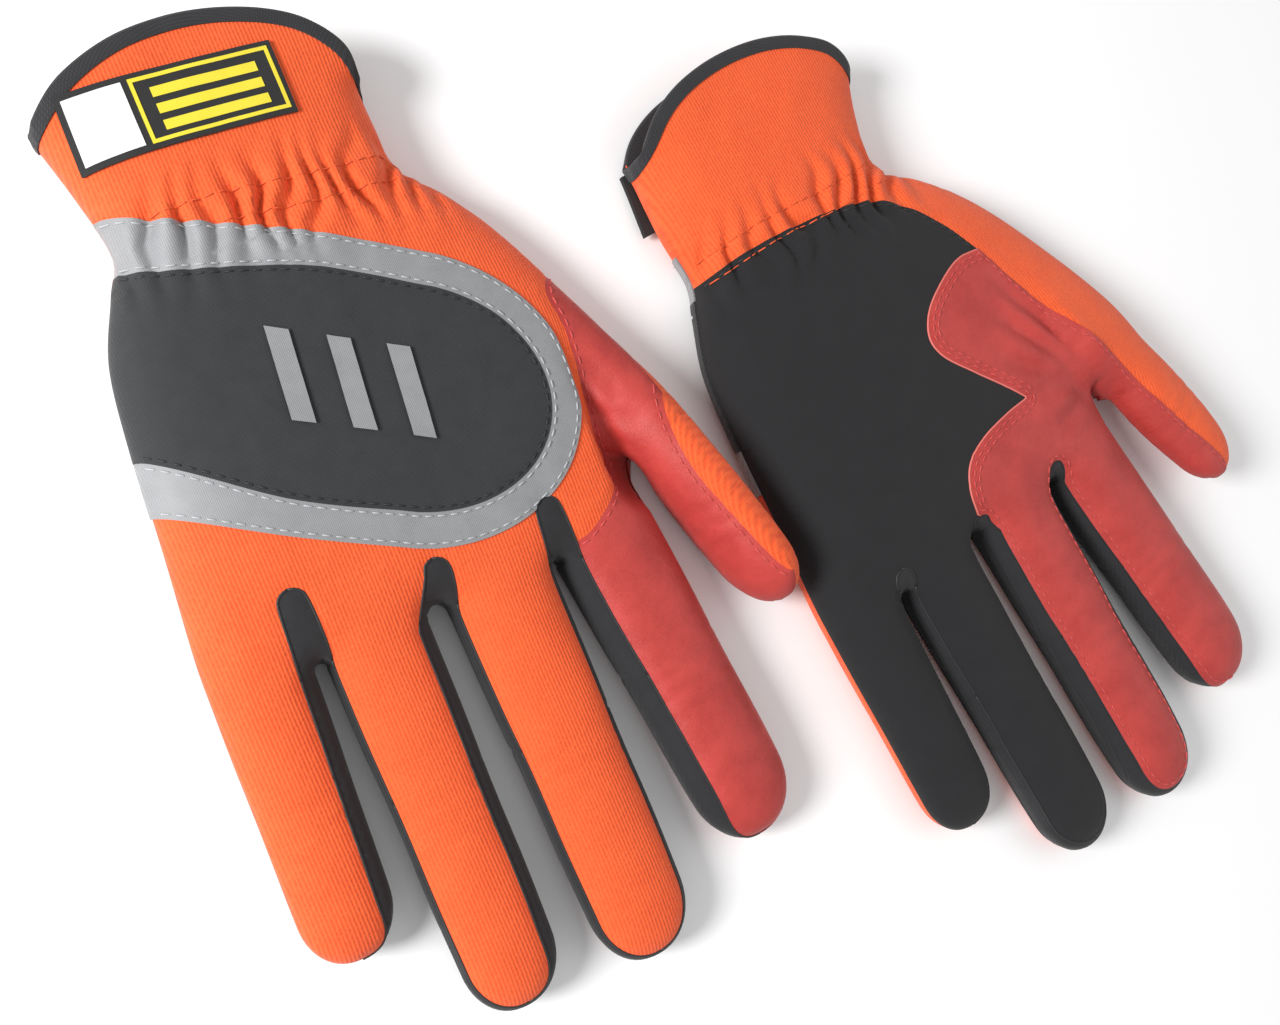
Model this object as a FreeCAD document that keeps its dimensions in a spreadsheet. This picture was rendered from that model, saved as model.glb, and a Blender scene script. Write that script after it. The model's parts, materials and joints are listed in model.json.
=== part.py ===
"""A pair of work gloves lying on a table: the right one back up, the left one palm up.

Millimetres, +Z up, fingers towards -Y, both thumbs towards +X. The origin is on the table under
the middle of the pair. Each glove is laid out in its own plan: "across" runs towards the thumb,
"along" runs from the wrist crease to the fingertips, which is -Y before the glove is turned.
"""
import FreeCAD, Part
import math
import os

import Sketcher
from FreeCAD import Placement, Rotation, Vector

os.makedirs("parts", exist_ok=True)
doc = FreeCAD.newDocument("work_gloves")

# ---------------------------------------------------------------- driving dimensions
sizes = doc.addObject("Spreadsheet::Sheet", "Sizes")
cell_count = 0
finished = []


def size(alias, number):
    """Keeps one driving dimension in the sheet."""
    global cell_count
    cell_count += 1
    sizes.set(f"A{cell_count}", alias)
    sizes.set(f"B{cell_count}", str(number))
    sizes.setAlias(f"B{cell_count}", alias)


SINGLE_SIZES = {
    # Cloth and clearances
    "wall": 1.6,            # outer cloth and lining together
    "patch_lift": 0.1,      # between a panel and a patch sewn on it
    "patch_wall": 1.0,
    "hinge_gap": 0.5,       # from a fold's axis to the end of each segment
    "parting": 9,           # height of the seam between back and palm panels
    "parting_gap": 0.5,     # half the space that patches leave at that seam
    "reach": 400,           # larger than anything that a cutting block must cover
    "past": 5,              # how far cutting outlines run past what they cut
    "above_hand": 40,
    "bevel_depth": 24,      # how far the bevels at the folds reach towards the palm
    # Hand: heights of the sections, and how far the pinky and thumb edges lie from the middle
    "hand_lift": 1.0,
    "wrist_height": 24, "wrist_pinky": -35, "wrist_thumb": 36,
    "heel_along": 26, "heel_height": 24, "heel_pinky": -46.5, "heel_thumb": 58,
    "web_along": 85, "web_height": 20, "web_pinky": -53, "web_thumb": 82.5,
    "web_inner": 57.5,      # edge of the palm beside the thumb, past the web
    "web_seam": 1.5,        # from there to the bevel that clears the folding thumb
    "front_along": 107.5, "front_height": 17, "front_pinky": -56, "front_thumb": 63,
    # Cuff
    "cuff_run": 60, "cuff_pinky": -38.5, "cuff_thumb": 38.5,
    "hem_radius": 61, "hem_along": -46, "binding_width": 3.5, "binding_wall": 0.8,
    "lean_at": 48,          # how far behind the wrist crease a cuff's lean is measured
    "elastic_along": 5, "elastic_width": 7, "elastic_reach": 60,
    "label_long": 50, "label_wide": 17, "label_wall": 0.8,
    "label_across": -10, "label_along": -25,
    # Oval patch across the knuckles, its band, and the overlay on the palm
    "oval_radius": 27, "oval_edge": 22, "oval_run": 95, "oval_across": 20, "oval_along": 60,
    "oval_turn": 28, "band_width": 8, "band_edge": 12, "patch_seam": 0.2,
    "lobe_radius": 17.5, "lobe_start_across": 31, "lobe_start_along": 36,
    "lobe_end_across": 24, "lobe_end_along": 69, "waist_across": 33, "waist_along": 78,
    "heel_lobe_radius": 12, "heel_lobe_across": 14, "heel_lobe_along": 82,
    "heel_lobe_end_across": 0, "heel_lobe_end_along": 100,
    # Fingers
    "stall_height": 16, "finger_fold": 75, "joint_fold": 80,
    "thumb_fold": 26, "thumb_tip_fold": 42, "wrist_fold": 25,
    "finger_spare": 1, "thumb_spare": 6, "wrist_spare": 0.5,    # degrees that the bevels leave free
    "thumb_lift": 13, "thumb_hinge_roll": 12, "thumb_section_roll": 93,
    "gusset_run": 6, "gusset_height": 12, "gusset_gap": 0.6,
}
# Digit: middle of its first fold across and along, splay, width, run to the second fold, whole run
DIGIT_SIZES = {
    "index": (48.8, 109, 6, 29, 38, 83),
    "middle": (17.6, 109, 0, 28, 43, 96),
    "ring": (-15.5, 109, -1, 26, 40, 90),
    "pinky": (-43.7, 109, -3.5, 24, 28, 61),
    "thumb": (72.2, 90, 17, 26, 22, 51),
}
DIGIT_FIELDS = ("across", "along", "splay", "width", "joint_run", "run")
# Glove: place of its wrist crease, turn about the vertical, and how far its cuff leans to the thumb
GLOVE_SIZES = {
    "right": (-82.2, 106.35, -4.6, -3.5),
    "left": (50, 50.25, 4.6, 6),
}
GLOVE_FIELDS = ("place_x", "place_y", "turn", "cuff_lean")
FINGERS = ("index", "middle", "ring", "pinky")
# A half circle's radius is drawn this much larger, so that the arc's ends stay within its reach
ARC_SPARE = 1.00001
LEAST_CUT = 1               # mm3 that a pocket must take away

for alias, number in SINGLE_SIZES.items():
    size(alias, number)
for digit, numbers in DIGIT_SIZES.items():
    for field, number in zip(DIGIT_FIELDS, numbers):
        size(f"{digit}_{field}", number)
for side, numbers in GLOVE_SIZES.items():
    for field, number in zip(GLOVE_FIELDS, numbers):
        size(f"{side}_{field}", number)
doc.recompute()


def value(alias):
    """The number in the sheet's cell of that alias."""
    return float(sizes.get(alias))


# ---------------------------------------------------------------- placements
def glove_placement(side):
    """Where the middle of a glove's wrist crease stands on the table."""
    place = Vector(value(f"{side}_place_x"), value(f"{side}_place_y"), 0)
    return Placement(place, Rotation(Vector(0, 0, 1), value(f"{side}_turn")))


def digit_placement(side, digit, run):
    """The frame of a fold: X along its hinge axis, -Y along the digit, run after the first fold."""
    facing = 1 if side == "right" else -1
    height = value("thumb_lift") if digit == "thumb" else value("stall_height") / 2
    across, along = value(f"{digit}_across"), value(f"{digit}_along")
    turn = Rotation(Vector(0, 0, 1), value(f"{digit}_splay"))
    roll = value("thumb_hinge_roll") * facing if digit == "thumb" else 0
    fold = Placement(Vector(across, -along, height), turn * Rotation(Vector(0, 1, 0), roll))
    return glove_placement(side) * fold * Placement(Vector(0, -run, 0), Rotation())


# ---------------------------------------------------------------- sketch helpers
def new_body(name):
    return doc.addObject("PartDesign::Body", name)


def origin_plane(body, role):
    """One of a body's own origin planes."""
    for feature in body.Origin.OriginFeatures:
        if feature.Role == role:
            return feature
    raise ValueError(role)


def new_sketch(body, name, role, offset="0", roll="0"):
    """A sketch on an origin plane, moved along its normal and rolled about it."""
    sketch = body.newObject("Sketcher::SketchObject", name)
    sketch.AttachmentSupport = (origin_plane(body, role), "")
    sketch.MapMode = "FlatFace"
    sketch.setExpression(".AttachmentOffset.Base.z", offset)
    sketch.setExpression(".AttachmentOffset.Rotation.Axis.z", "1")
    sketch.setExpression(".AttachmentOffset.Rotation.Angle", roll)
    return sketch


def number_of(text):
    """The number that a formula over the sheet's cells stands for."""
    result = sizes.evalExpression(text)
    return float(getattr(result, "Value", result))


def bind(sketch, kind, items, formula):
    """Adds one driving constraint and binds it to a formula over the sheet's cells."""
    index = sketch.addConstraint(Sketcher.Constraint(kind, *items, number_of(formula)))
    sketch.renameConstraint(index, f"size_{index}")
    sketch.setExpression(f"Constraints.size_{index}", formula)


def draw_slot(sketch, left, right, height, middle):
    """A slot with round ends, from left to right, with its middle line at a height."""
    radius = f"({height}) / 2"
    ends = (f"({left}) + {radius}", f"({right}) - {radius}")
    r, y = number_of(radius), number_of(middle)
    arcs = []
    for x, start in zip([number_of(end) for end in ends], (math.pi / 2, -math.pi / 2)):
        circle = Part.Circle(Vector(x, y, 0), Vector(0, 0, 1), r)
        arcs.append(sketch.addGeometry(Part.ArcOfCircle(circle, start, start + math.pi)))
    first, second = (number_of(end) for end in ends)
    bottom = sketch.addGeometry(Part.LineSegment(Vector(first, y - r, 0), Vector(second, y - r, 0)))
    top = sketch.addGeometry(Part.LineSegment(Vector(second, y + r, 0), Vector(first, y + r, 0)))
    joins = ((arcs[0], 2, bottom, 1), (bottom, 2, arcs[1], 1), (arcs[1], 2, top, 1), (top, 2, arcs[0], 1))
    for join in joins:
        sketch.addConstraint(Sketcher.Constraint("Tangent", *join))
    for arc, end in zip(arcs, ends):
        bind(sketch, "DistanceX", (-1, 1, arc, 3), end)
        bind(sketch, "DistanceY", (-1, 1, arc, 3), middle)
        bind(sketch, "Radius", (arc,), radius)


def arc_between(start, end, radius):
    """The short arc from start to end that bulges to the right of the way from one to the other."""
    chord = end - start
    right = Vector(chord.y, -chord.x, 0).normalize()
    sagitta = abs(radius) - math.sqrt(radius ** 2 - (chord.Length / 2) ** 2)
    middle = (start + end) * 0.5 + right * math.copysign(sagitta, radius)
    return Part.Arc(start, middle, end)


def draw_outline(sketch, corners):
    """A closed outline: each corner is x, y and the radius of the arc to the next one, or None."""
    points = [Vector(number_of(x), number_of(y), 0) for x, y, _ in corners]
    edges = []
    for index, (_, _, radius) in enumerate(corners):
        start, end = points[index], points[(index + 1) % len(points)]
        if radius is None:
            edge = Part.LineSegment(start, end)
        else:
            edge = arc_between(start, end, number_of(radius))
        edges.append(sketch.addGeometry(edge))
    for index, (x, y, radius) in enumerate(corners):
        here, before = edges[index], edges[index - 1]
        first = end_near(sketch, here, points[index])
        last = end_near(sketch, before, points[index])
        sketch.addConstraint(Sketcher.Constraint("Coincident", before, last, here, first))
        bind(sketch, "DistanceX", (-1, 1, here, first), x)
        bind(sketch, "DistanceY", (-1, 1, here, first), y)
        if radius is not None:
            bind(sketch, "Radius", (here,), f"abs({radius})")


def end_near(sketch, edge, point):
    """1 or 2: which end of an edge lies at the point."""
    return min((1, 2), key=lambda end: sketch.getPoint(edge, end).distanceToPoint(point))


# ---------------------------------------------------------------- feature helpers
def add_pad(body, name, sketch, length, midplane=False):
    pad = body.newObject("PartDesign::Pad", name)
    pad.Profile = sketch
    pad.setExpression("Length", length)
    pad.Midplane = midplane
    return pad


def add_pocket(body, name, sketch, length, midplane=True, reversed_side=False):
    """Cuts, and makes sure that something was cut."""
    doc.recompute()
    before = body.Shape.Volume
    pocket = body.newObject("PartDesign::Pocket", name)
    pocket.Profile = sketch
    pocket.setExpression("Length", length)
    pocket.Midplane = midplane
    pocket.Reversed = reversed_side
    doc.recompute()
    if body.Shape.Volume > before - LEAST_CUT:
        raise ValueError(f"{name} cuts nothing")
    return pocket


def add_loft(body, name, sketches, kind):
    loft = body.newObject(f"PartDesign::{kind}Loft", name)
    loft.Profile = sketches[0]
    loft.Sections = sketches[1:]
    loft.Ruled = True
    return loft


def finish(piece, label):
    """Names a finished piece after its node."""
    piece.Label = label
    finished.append(piece)
    return piece


def boolean(kind, base, tool, label):
    """Part::Common or Part::Cut of two shapes, as a finished or a helping piece."""
    piece = doc.addObject(f"Part::{kind}", label)
    piece.Base = base
    piece.Tool = tool
    return piece


def block_above(name, placement, height):
    """A large block whose underside is at a height in the given frame."""
    block = doc.addObject("Part::Box", name)
    for edge in ("Length", "Width", "Height"):
        block.setExpression(edge, "Sizes.reach")
    half = value("reach") / 2
    block.Placement = placement * Placement(Vector(-half, -half, height), Rotation())
    return block


# ---------------------------------------------------------------- fingers and thumb
def wedge(body, name, at, half_angle, backwards, facing):
    """Bevels the palm side of a segment's end, so that the next segment can fold onto it.

    The bevel starts at the height of the fold's axis, at a distance along the digit.
    """
    sketch = new_sketch(body, f"{name}_outline", "YZ_Plane")
    palm = f"{-facing} * Sizes.stall_height"
    way = -1 if backwards else 1
    lean = f"{-way} * Sizes.stall_height * tan({half_angle} * 1 deg)"
    corners = [
        (f"-({at})", "0", None),
        (f"-({at}) + ({lean})", palm, None),
        (f"-({at}) + {way} * Sizes.stall_height", palm, None),
        (f"-({at}) + {way} * Sizes.stall_height", "0", None),
    ]
    draw_outline(sketch, corners)
    add_pocket(body, name, sketch, "Sizes.reach")


def stall_tube(body, name, digit, length, start, roll):
    """The straight part of a finger stall: a flattened tube, open at both ends."""
    sketch = new_sketch(body, f"{name}_section", "XZ_Plane", start, roll)
    half = f"Sizes.{digit}_width / 2"
    draw_slot(sketch, f"-{half}", half, "Sizes.stall_height", "0")
    draw_slot(sketch, f"-{half} + Sizes.wall", f"{half} - Sizes.wall",
              "Sizes.stall_height - 2 * Sizes.wall", "0")
    add_pad(body, f"{name}_tube", sketch, length)


def stall_tip(body, name, digit, at, roll):
    """The closed end: half of the tube's section turned about its own upright axis."""
    sketch = new_sketch(body, f"{name}_tip_section", "XZ_Plane", at, roll)
    outer = "Sizes.stall_height / 2"
    inner = "(Sizes.stall_height / 2 - Sizes.wall)"
    middle = f"Sizes.{digit}_width / 2 - {outer}"
    corners = [
        ("0", f"-{outer}", None),
        (middle, f"-{outer}", f"{outer} * {ARC_SPARE}"),
        (middle, outer, None),
        ("0", outer, None),
        ("0", inner, None),
        (middle, inner, f"-{inner} * {ARC_SPARE}"),
        (middle, f"-{inner}", None),
        ("0", f"-{inner}", None),
    ]
    draw_outline(sketch, corners)
    tip = body.newObject("PartDesign::Revolution", f"{name}_tip")
    tip.Profile = sketch
    tip.ReferenceAxis = (sketch, ["V_Axis"])
    tip.Angle = 180
    tip.Reversed = False
    doc.recompute()
    if tip.Shape.BoundBox.YMin > -number_of(at) - 1:
        tip.Reversed = True


def digit_segments(side, digit):
    """The two segments of a finger or thumb stall, from the palm to the closed tip."""
    facing = 1 if side == "right" else -1
    is_thumb = digit == "thumb"
    roll = f"{-facing} * Sizes.thumb_section_roll" if is_thumb else "0"
    first_fold = "Sizes.thumb_fold / 2" if is_thumb else "Sizes.finger_fold / 2"
    second_fold = "Sizes.thumb_tip_fold / 2" if is_thumb else "Sizes.joint_fold / 2"
    name = f"{side}_{digit}"

    first = new_body(f"{name}_lower_stall")
    first_length = f"Sizes.{digit}_joint_run - 2 * Sizes.hinge_gap"
    stall_tube(first, f"{name}_lower", digit, first_length, "Sizes.hinge_gap", roll)
    wedge(first, f"{name}_lower_base_bevel", "Sizes.hinge_gap", first_fold, False, facing)
    far_end = f"Sizes.{digit}_joint_run - Sizes.hinge_gap"
    wedge(first, f"{name}_lower_far_bevel", far_end, second_fold, True, facing)
    first.Placement = digit_placement(side, digit, 0)

    tip_at = f"Sizes.{digit}_run - Sizes.{digit}_joint_run - Sizes.{digit}_width / 2"
    second = new_body(f"{name}_tip_stall")
    stall_tube(second, f"{name}_tip", digit, f"{tip_at} - Sizes.hinge_gap", "Sizes.hinge_gap", roll)
    stall_tip(second, f"{name}_tip", digit, tip_at, roll)
    wedge(second, f"{name}_tip_bevel", "Sizes.hinge_gap", second_fold, False, facing)
    second.Placement = digit_placement(side, digit, value(f"{digit}_joint_run"))
    finish(second, f"{name}_tip")

    turn = number_of(roll)
    split_frame = first.Placement * Placement(Vector(), Rotation(Vector(0, 1, 0), -turn))
    upper_block = block_above(f"{name}_block", split_frame, 0)
    upper = boolean("Common", first, upper_block, f"{name}_upper_half")
    lower = boolean("Cut", first, upper_block, f"{name}_lower_half")
    back, palm = (upper, lower) if facing > 0 else (lower, upper)
    finish(back, f"{name}_back")
    finish(palm, f"{name}_palm")


# ---------------------------------------------------------------- hand
def hand_section(body, name, at, station, grow, thumb_edge=None):
    """One cross-section of the hand, grown outwards by a distance."""
    sketch = new_sketch(body, name, "XZ_Plane", at)
    left = f"Sizes.{station}_pinky - ({grow})"
    right = f"Sizes.{thumb_edge or station + '_thumb'} + ({grow})"
    height = f"Sizes.{station}_height + 2 * ({grow})"
    draw_slot(sketch, left, right, height, f"Sizes.hand_lift + Sizes.{station}_height / 2")
    return sketch


def hand_form(body, name, grow, kind, past="0"):
    """The hand's outer or inner form: wrist to thumb web, then web to the finger roots."""
    stations = (("wrist", f"Sizes.hinge_gap - ({past})"), ("heel", "Sizes.heel_along"),
                ("web", "Sizes.web_along"))
    rear = [hand_section(body, f"{name}_{station}", at, station, grow) for station, at in stations]
    add_loft(body, f"{name}_rear", rear, kind)
    fore = [hand_section(body, f"{name}_web_inner", f"Sizes.web_along - ({past})", "web", grow, "web_inner"),
            hand_section(body, f"{name}_front", f"Sizes.front_along + ({past})", "front", grow)]
    add_loft(body, f"{name}_fore", fore, kind)


def hand_skin(side, name, outside, inside):
    """A hollow skin around the hand, open at the wrist, at the finger roots and at the thumb."""
    body = new_body(name)
    hand_form(body, f"{name}_outer", outside, "Additive")
    hand_form(body, f"{name}_inner", inside, "Subtractive")
    facing = 1 if side == "right" else -1
    cut_finger_roots(body, name, facing)
    cut_thumb_root(body, name, facing)
    cut_wrist_end(body, f"{name}_wrist", 1)
    body.Placement = glove_placement(side)
    return body


def cut_finger_roots(body, name, facing):
    """Bevels the palm side of the hand's front edge for the folding fingers."""
    sketch = new_sketch(body, f"{name}_root_outline", "YZ_Plane")
    axis_height = "Sizes.stall_height / 2"
    depth = "Sizes.bevel_depth"
    lean = f"{depth} * tan((Sizes.finger_fold / 2 + Sizes.finger_spare) * 1 deg)"
    corners = [
        ("-Sizes.front_along", axis_height, None),
        (f"-Sizes.front_along + {lean}", f"{axis_height} - {facing} * {depth}", None),
        ("-Sizes.front_along - Sizes.past", f"{axis_height} - {facing} * {depth}", None),
        ("-Sizes.front_along - Sizes.past", axis_height, None),
    ]
    draw_outline(sketch, corners)
    add_pocket(body, f"{name}_root_bevel", sketch, "Sizes.reach")


def cut_thumb_root(body, name, facing):
    """Bevels the palm side of the edge that the thumb stall grows from."""
    sketch = new_sketch(body, f"{name}_thumb_outline", "YZ_Plane", "Sizes.web_inner + Sizes.web_seam")
    depth = "Sizes.bevel_depth"
    lean = f"{depth} * tan((Sizes.thumb_fold / 2 + Sizes.thumb_spare) * 1 deg)"
    corners = [
        ("-Sizes.web_along", "Sizes.thumb_lift", None),
        (f"-Sizes.web_along + {lean}", f"Sizes.thumb_lift - {facing} * {depth}", None),
        ("-Sizes.web_along - Sizes.past", f"Sizes.thumb_lift - {facing} * {depth}", None),
        ("-Sizes.web_along - Sizes.past", "Sizes.thumb_lift", None),
    ]
    draw_outline(sketch, corners)
    add_pocket(body, f"{name}_thumb_bevel", sketch, "Sizes.reach", midplane=False, reversed_side=True)


def cut_wrist_end(body, name, way):
    """Bevels back and palm at the wrist crease, where hand and cuff fold either way."""
    middle = "Sizes.hand_lift + Sizes.wrist_height / 2"
    depth = "Sizes.wrist_height"
    lean = f"{depth} * tan((Sizes.wrist_fold / 2 + Sizes.wrist_spare) * 1 deg)"
    for label, up in (("upper", 1), ("lower", -1)):
        sketch = new_sketch(body, f"{name}_{label}_outline", "YZ_Plane")
        corners = [
            (f"{-way} * Sizes.hinge_gap", middle, None),
            (f"{-way} * (Sizes.hinge_gap + {lean})", f"{middle} + {up} * {depth}", None),
            (f"{way} * Sizes.past", f"{middle} + {up} * {depth}", None),
            (f"{way} * Sizes.past", middle, None),
        ]
        draw_outline(sketch, corners)
        add_pocket(body, f"{name}_{label}_bevel", sketch, "Sizes.reach")


def prism(side, name, corners, low, high, across="0", along="0", turn="0"):
    """An upright prism on an outline in the glove's plan, between two heights."""
    body = new_body(name)
    sketch = new_sketch(body, f"{name}_outline", "XY_Plane", low, turn)
    sketch.setExpression(".AttachmentOffset.Base.x", across)
    sketch.setExpression(".AttachmentOffset.Base.y", f"-({along})")
    draw_outline(sketch, corners)
    add_pad(body, f"{name}_pad", sketch, f"({high}) - ({low})")
    body.Placement = glove_placement(side)
    return body


def oval_corners(radius, edge):
    """A bullet outline: an arc towards the thumb, and two edges running out past the pinky side."""
    return [("-Sizes.oval_run", f"-({edge})", None), ("0", f"-({radius})", f"({radius}) * {ARC_SPARE}"),
            ("0", radius, None), ("-Sizes.oval_run", edge, None)]


def band_corners():
    """The band around the oval, as one strip that is open at the pinky side."""
    outer = oval_corners("Sizes.oval_radius + Sizes.band_width", "Sizes.oval_edge + Sizes.band_edge")
    gap_radius = "(Sizes.oval_radius + Sizes.patch_seam)"
    gap_edge = "(Sizes.oval_edge + Sizes.patch_seam)"
    inner = [("-Sizes.oval_run", gap_edge, None), ("0", gap_radius, f"-{gap_radius} * {ARC_SPARE}"),
             ("0", f"-{gap_radius}", None), ("-Sizes.oval_run", f"-{gap_edge}", None)]
    return outer + inner


def overlay_corners():
    """The leather overlay: a lobe on the ball of the thumb, a waist, and the index side of the palm."""
    edge = "Sizes.web_thumb + 2 * Sizes.past"
    front = "-(Sizes.front_along + Sizes.past)"
    return [
        (edge, "-Sizes.lobe_start_along", None),
        (edge, front, None),
        ("Sizes.heel_lobe_end_across", front, None),
        ("Sizes.heel_lobe_end_across", "-Sizes.heel_lobe_end_along", "-Sizes.heel_lobe_radius"),
        ("Sizes.heel_lobe_across", "-Sizes.heel_lobe_along", None),
        ("Sizes.waist_across", "-Sizes.waist_along", None),
        ("Sizes.lobe_end_across", "-Sizes.lobe_end_along", "-Sizes.lobe_radius"),
        ("Sizes.lobe_start_across", "-Sizes.lobe_start_along", None),
    ]


def hand_pieces(side):
    """Back and palm panels, the patches sewn on them and the elastic inside the wrist."""
    facing = 1 if side == "right" else -1
    above = ("Sizes.parting + Sizes.parting_gap", "Sizes.parting + Sizes.above_hand")
    below = ("0", "Sizes.parting - Sizes.parting_gap")
    back_side, palm_side = (above, below) if facing > 0 else (below, above)
    placement = glove_placement(side)

    shell = hand_skin(side, f"{side}_hand_shell", "0", "-Sizes.wall")
    block = block_above(f"{side}_hand_block", placement, value("parting"))
    upper = boolean("Common", shell, block, f"{side}_hand_upper")
    lower = boolean("Cut", shell, block, f"{side}_hand_lower")
    back, palm = (upper, lower) if facing > 0 else (lower, upper)
    finish(back, f"{side}_back_panel")
    finish(palm, f"{side}_palm_panel")

    lifted = "Sizes.patch_lift + Sizes.patch_wall"
    skin = hand_skin(side, f"{side}_patch_skin", lifted, "Sizes.patch_lift")
    place = {"across": "Sizes.oval_across", "along": "Sizes.oval_along", "turn": "-Sizes.oval_turn"}
    oval = prism(side, f"{side}_oval_prism", oval_corners("Sizes.oval_radius", "Sizes.oval_edge"),
                 *back_side, **place)
    finish(boolean("Common", skin, oval, f"{side}_oval"), f"{side}_knuckle_patch")
    band = prism(side, f"{side}_band_prism", band_corners(), *back_side, **place)
    finish(boolean("Common", skin, band, f"{side}_band"), f"{side}_reflective_band")
    overlay = prism(side, f"{side}_overlay_prism", overlay_corners(), *palm_side)
    finish(boolean("Common", skin, overlay, f"{side}_overlay"), f"{side}_palm_overlay")

    lining = hand_skin(side, f"{side}_elastic_skin", "-(Sizes.wall + Sizes.patch_lift)",
                       "-(Sizes.wall + Sizes.patch_lift + Sizes.patch_wall)")
    near, far = "-Sizes.elastic_along", "-(Sizes.elastic_along + Sizes.elastic_width)"
    strip_corners = [("-Sizes.elastic_reach", near, None), ("Sizes.elastic_reach", near, None),
                     ("Sizes.elastic_reach", far, None), ("-Sizes.elastic_reach", far, None)]
    strip = prism(side, f"{side}_elastic_prism", strip_corners, *back_side)
    finish(boolean("Common", lining, strip, f"{side}_elastic"), f"{side}_wrist_elastic")


def gussets(side):
    """The turned-up middles of the three fourchettes, in the forks between the fingers."""
    for first, second in zip(FINGERS, FINGERS[1:]):
        name = f"{side}_fourchette_{first}_{second}"
        near = f"(Sizes.{first}_across - Sizes.{first}_width / 2)"
        far = f"(Sizes.{second}_across + Sizes.{second}_width / 2)"
        gusset = doc.addObject("Part::Box", f"{name}_strip")
        gusset.setExpression("Length", f"{near} - {far} - 2 * Sizes.gusset_gap")
        gusset.setExpression("Width", "Sizes.gusset_run")
        gusset.setExpression("Height", "Sizes.gusset_height")
        left = number_of(far) + value("gusset_gap")
        base = (value("stall_height") - value("gusset_height")) / 2
        corner = Vector(left, -value("front_along") - value("gusset_run") - value("patch_seam"), base)
        gusset.Placement = glove_placement(side) * Placement(corner, Rotation())
        finish(gusset, name)


# ---------------------------------------------------------------- cuff
def cuff_loft(side, name, outside, inside):
    """The cuff's tube from the wrist crease back, leaning as the glove lies."""
    body = new_body(name)
    end_lean = f"Sizes.{side}_cuff_lean * Sizes.cuff_run / Sizes.lean_at"
    forms = (("outer", outside, "Additive", "0"), ("inner", inside, "Subtractive", "1"))
    for label, grow, kind, past in forms:
        sections = []
        stations = (("wrist", f"Sizes.hinge_gap - {past}", "0"),
                    ("cuff", f"Sizes.cuff_run + {past}", end_lean))
        for station, at, lean in stations:
            sketch = new_sketch(body, f"{name}_{label}_{station}", "XZ_Plane", f"-({at})")
            left = f"Sizes.{station}_pinky + {lean} - ({grow})"
            right = f"Sizes.{station}_thumb + {lean} + ({grow})"
            height = f"Sizes.wrist_height + 2 * ({grow})"
            draw_slot(sketch, left, right, height, "Sizes.hand_lift + Sizes.wrist_height / 2")
            sections.append(sketch)
        add_loft(body, f"{name}_{label}", sections, kind)
    body.Placement = glove_placement(side)
    return body


def hem_cylinder(side, name, radius):
    """An upright cylinder whose rear is the hem's arc in plan."""
    cylinder = doc.addObject("Part::Cylinder", name)
    cylinder.setExpression("Radius", radius)
    cylinder.setExpression("Height", "Sizes.reach")
    behind = -value("hem_along") - value("hem_radius")
    centre = Vector(value(f"{side}_cuff_lean"), behind, -value("reach") / 2)
    cylinder.Placement = glove_placement(side) * Placement(centre, Rotation())
    return cylinder


def cuff_pieces(side):
    """The cuff, the binding along its hem and the label on its back."""
    tube = cuff_loft(side, f"{side}_cuff_tube", "0", "-Sizes.wall")
    cut_wrist_end(tube, f"{side}_cuff_end", -1)
    rim = "Sizes.hem_radius - Sizes.binding_width"
    finish(boolean("Common", tube, hem_cylinder(side, f"{side}_cuff_trim", rim), f"{side}_cuff_shell"),
           f"{side}_cuff")

    thick = cuff_loft(side, f"{side}_binding_tube", "Sizes.binding_wall", "-Sizes.wall - Sizes.binding_wall")
    rear = boolean("Common", thick, hem_cylinder(side, f"{side}_hem_outside", "Sizes.hem_radius"),
                   f"{side}_binding_blank")
    inner = hem_cylinder(side, f"{side}_hem_inside", f"{rim} + Sizes.patch_seam")
    ring = boolean("Cut", rear, inner, f"{side}_binding_ring")
    finish(ring, f"{side}_hem_binding")

    facing = 1 if side == "right" else -1
    label = doc.addObject("Part::Box", f"{side}_label_patch")
    label.setExpression("Length", "Sizes.label_long")
    label.setExpression("Width", "Sizes.label_wide")
    label.setExpression("Height", "Sizes.label_wall")
    top = value("hand_lift") + value("wrist_height") + value("patch_lift")
    under = value("hand_lift") - value("patch_lift") - value("label_wall")
    corner = Vector(value("label_across") - value("label_long") / 2,
                    -value("label_along") - value("label_wide") / 2,
                    top if facing > 0 else under)
    label.Placement = glove_placement(side) * Placement(corner, Rotation())
    finish(label, f"{side}_label")


# ---------------------------------------------------------------- both gloves
for side in GLOVE_SIZES:
    hand_pieces(side)
    gussets(side)
    cuff_pieces(side)
    for digit in DIGIT_SIZES:
        digit_segments(side, digit)

doc.recompute()
for item in doc.Objects:
    if "Invalid" in item.State or "Error" in item.State:
        raise ValueError(f"{item.Label} has failed: {item.State}")
for piece in finished:
    if piece.Shape.isNull() or not piece.Shape.isValid():
        raise ValueError(f"{piece.Label} has no valid shape")

for piece in finished:
    piece.Shape.exportStep(f"parts/{piece.Label}.step")

everything = FreeCAD.BoundBox()
for piece in finished:
    everything.add(piece.Shape.BoundBox)
    print(f"{piece.Label}: {len(piece.Shape.Solids)} solid, {piece.Shape.Volume:.0f} mm3")
print(f"{len(finished)} pieces, {everything}")
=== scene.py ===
"""Looks of a pair of work gloves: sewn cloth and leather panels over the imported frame.

Each glove is drawn flat first, as its sewing plan in millimetres: u runs towards the thumb and v from
the wrist crease to the fingertips. The plan is inflated like a cushion, the thumb is twisted onto its
side, and the panels are cut from the two surfaces with cloth thickness. Facing is 1 for the glove
that lies back up and -1 for the one that lies palm up.
"""
import json
import math

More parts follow.
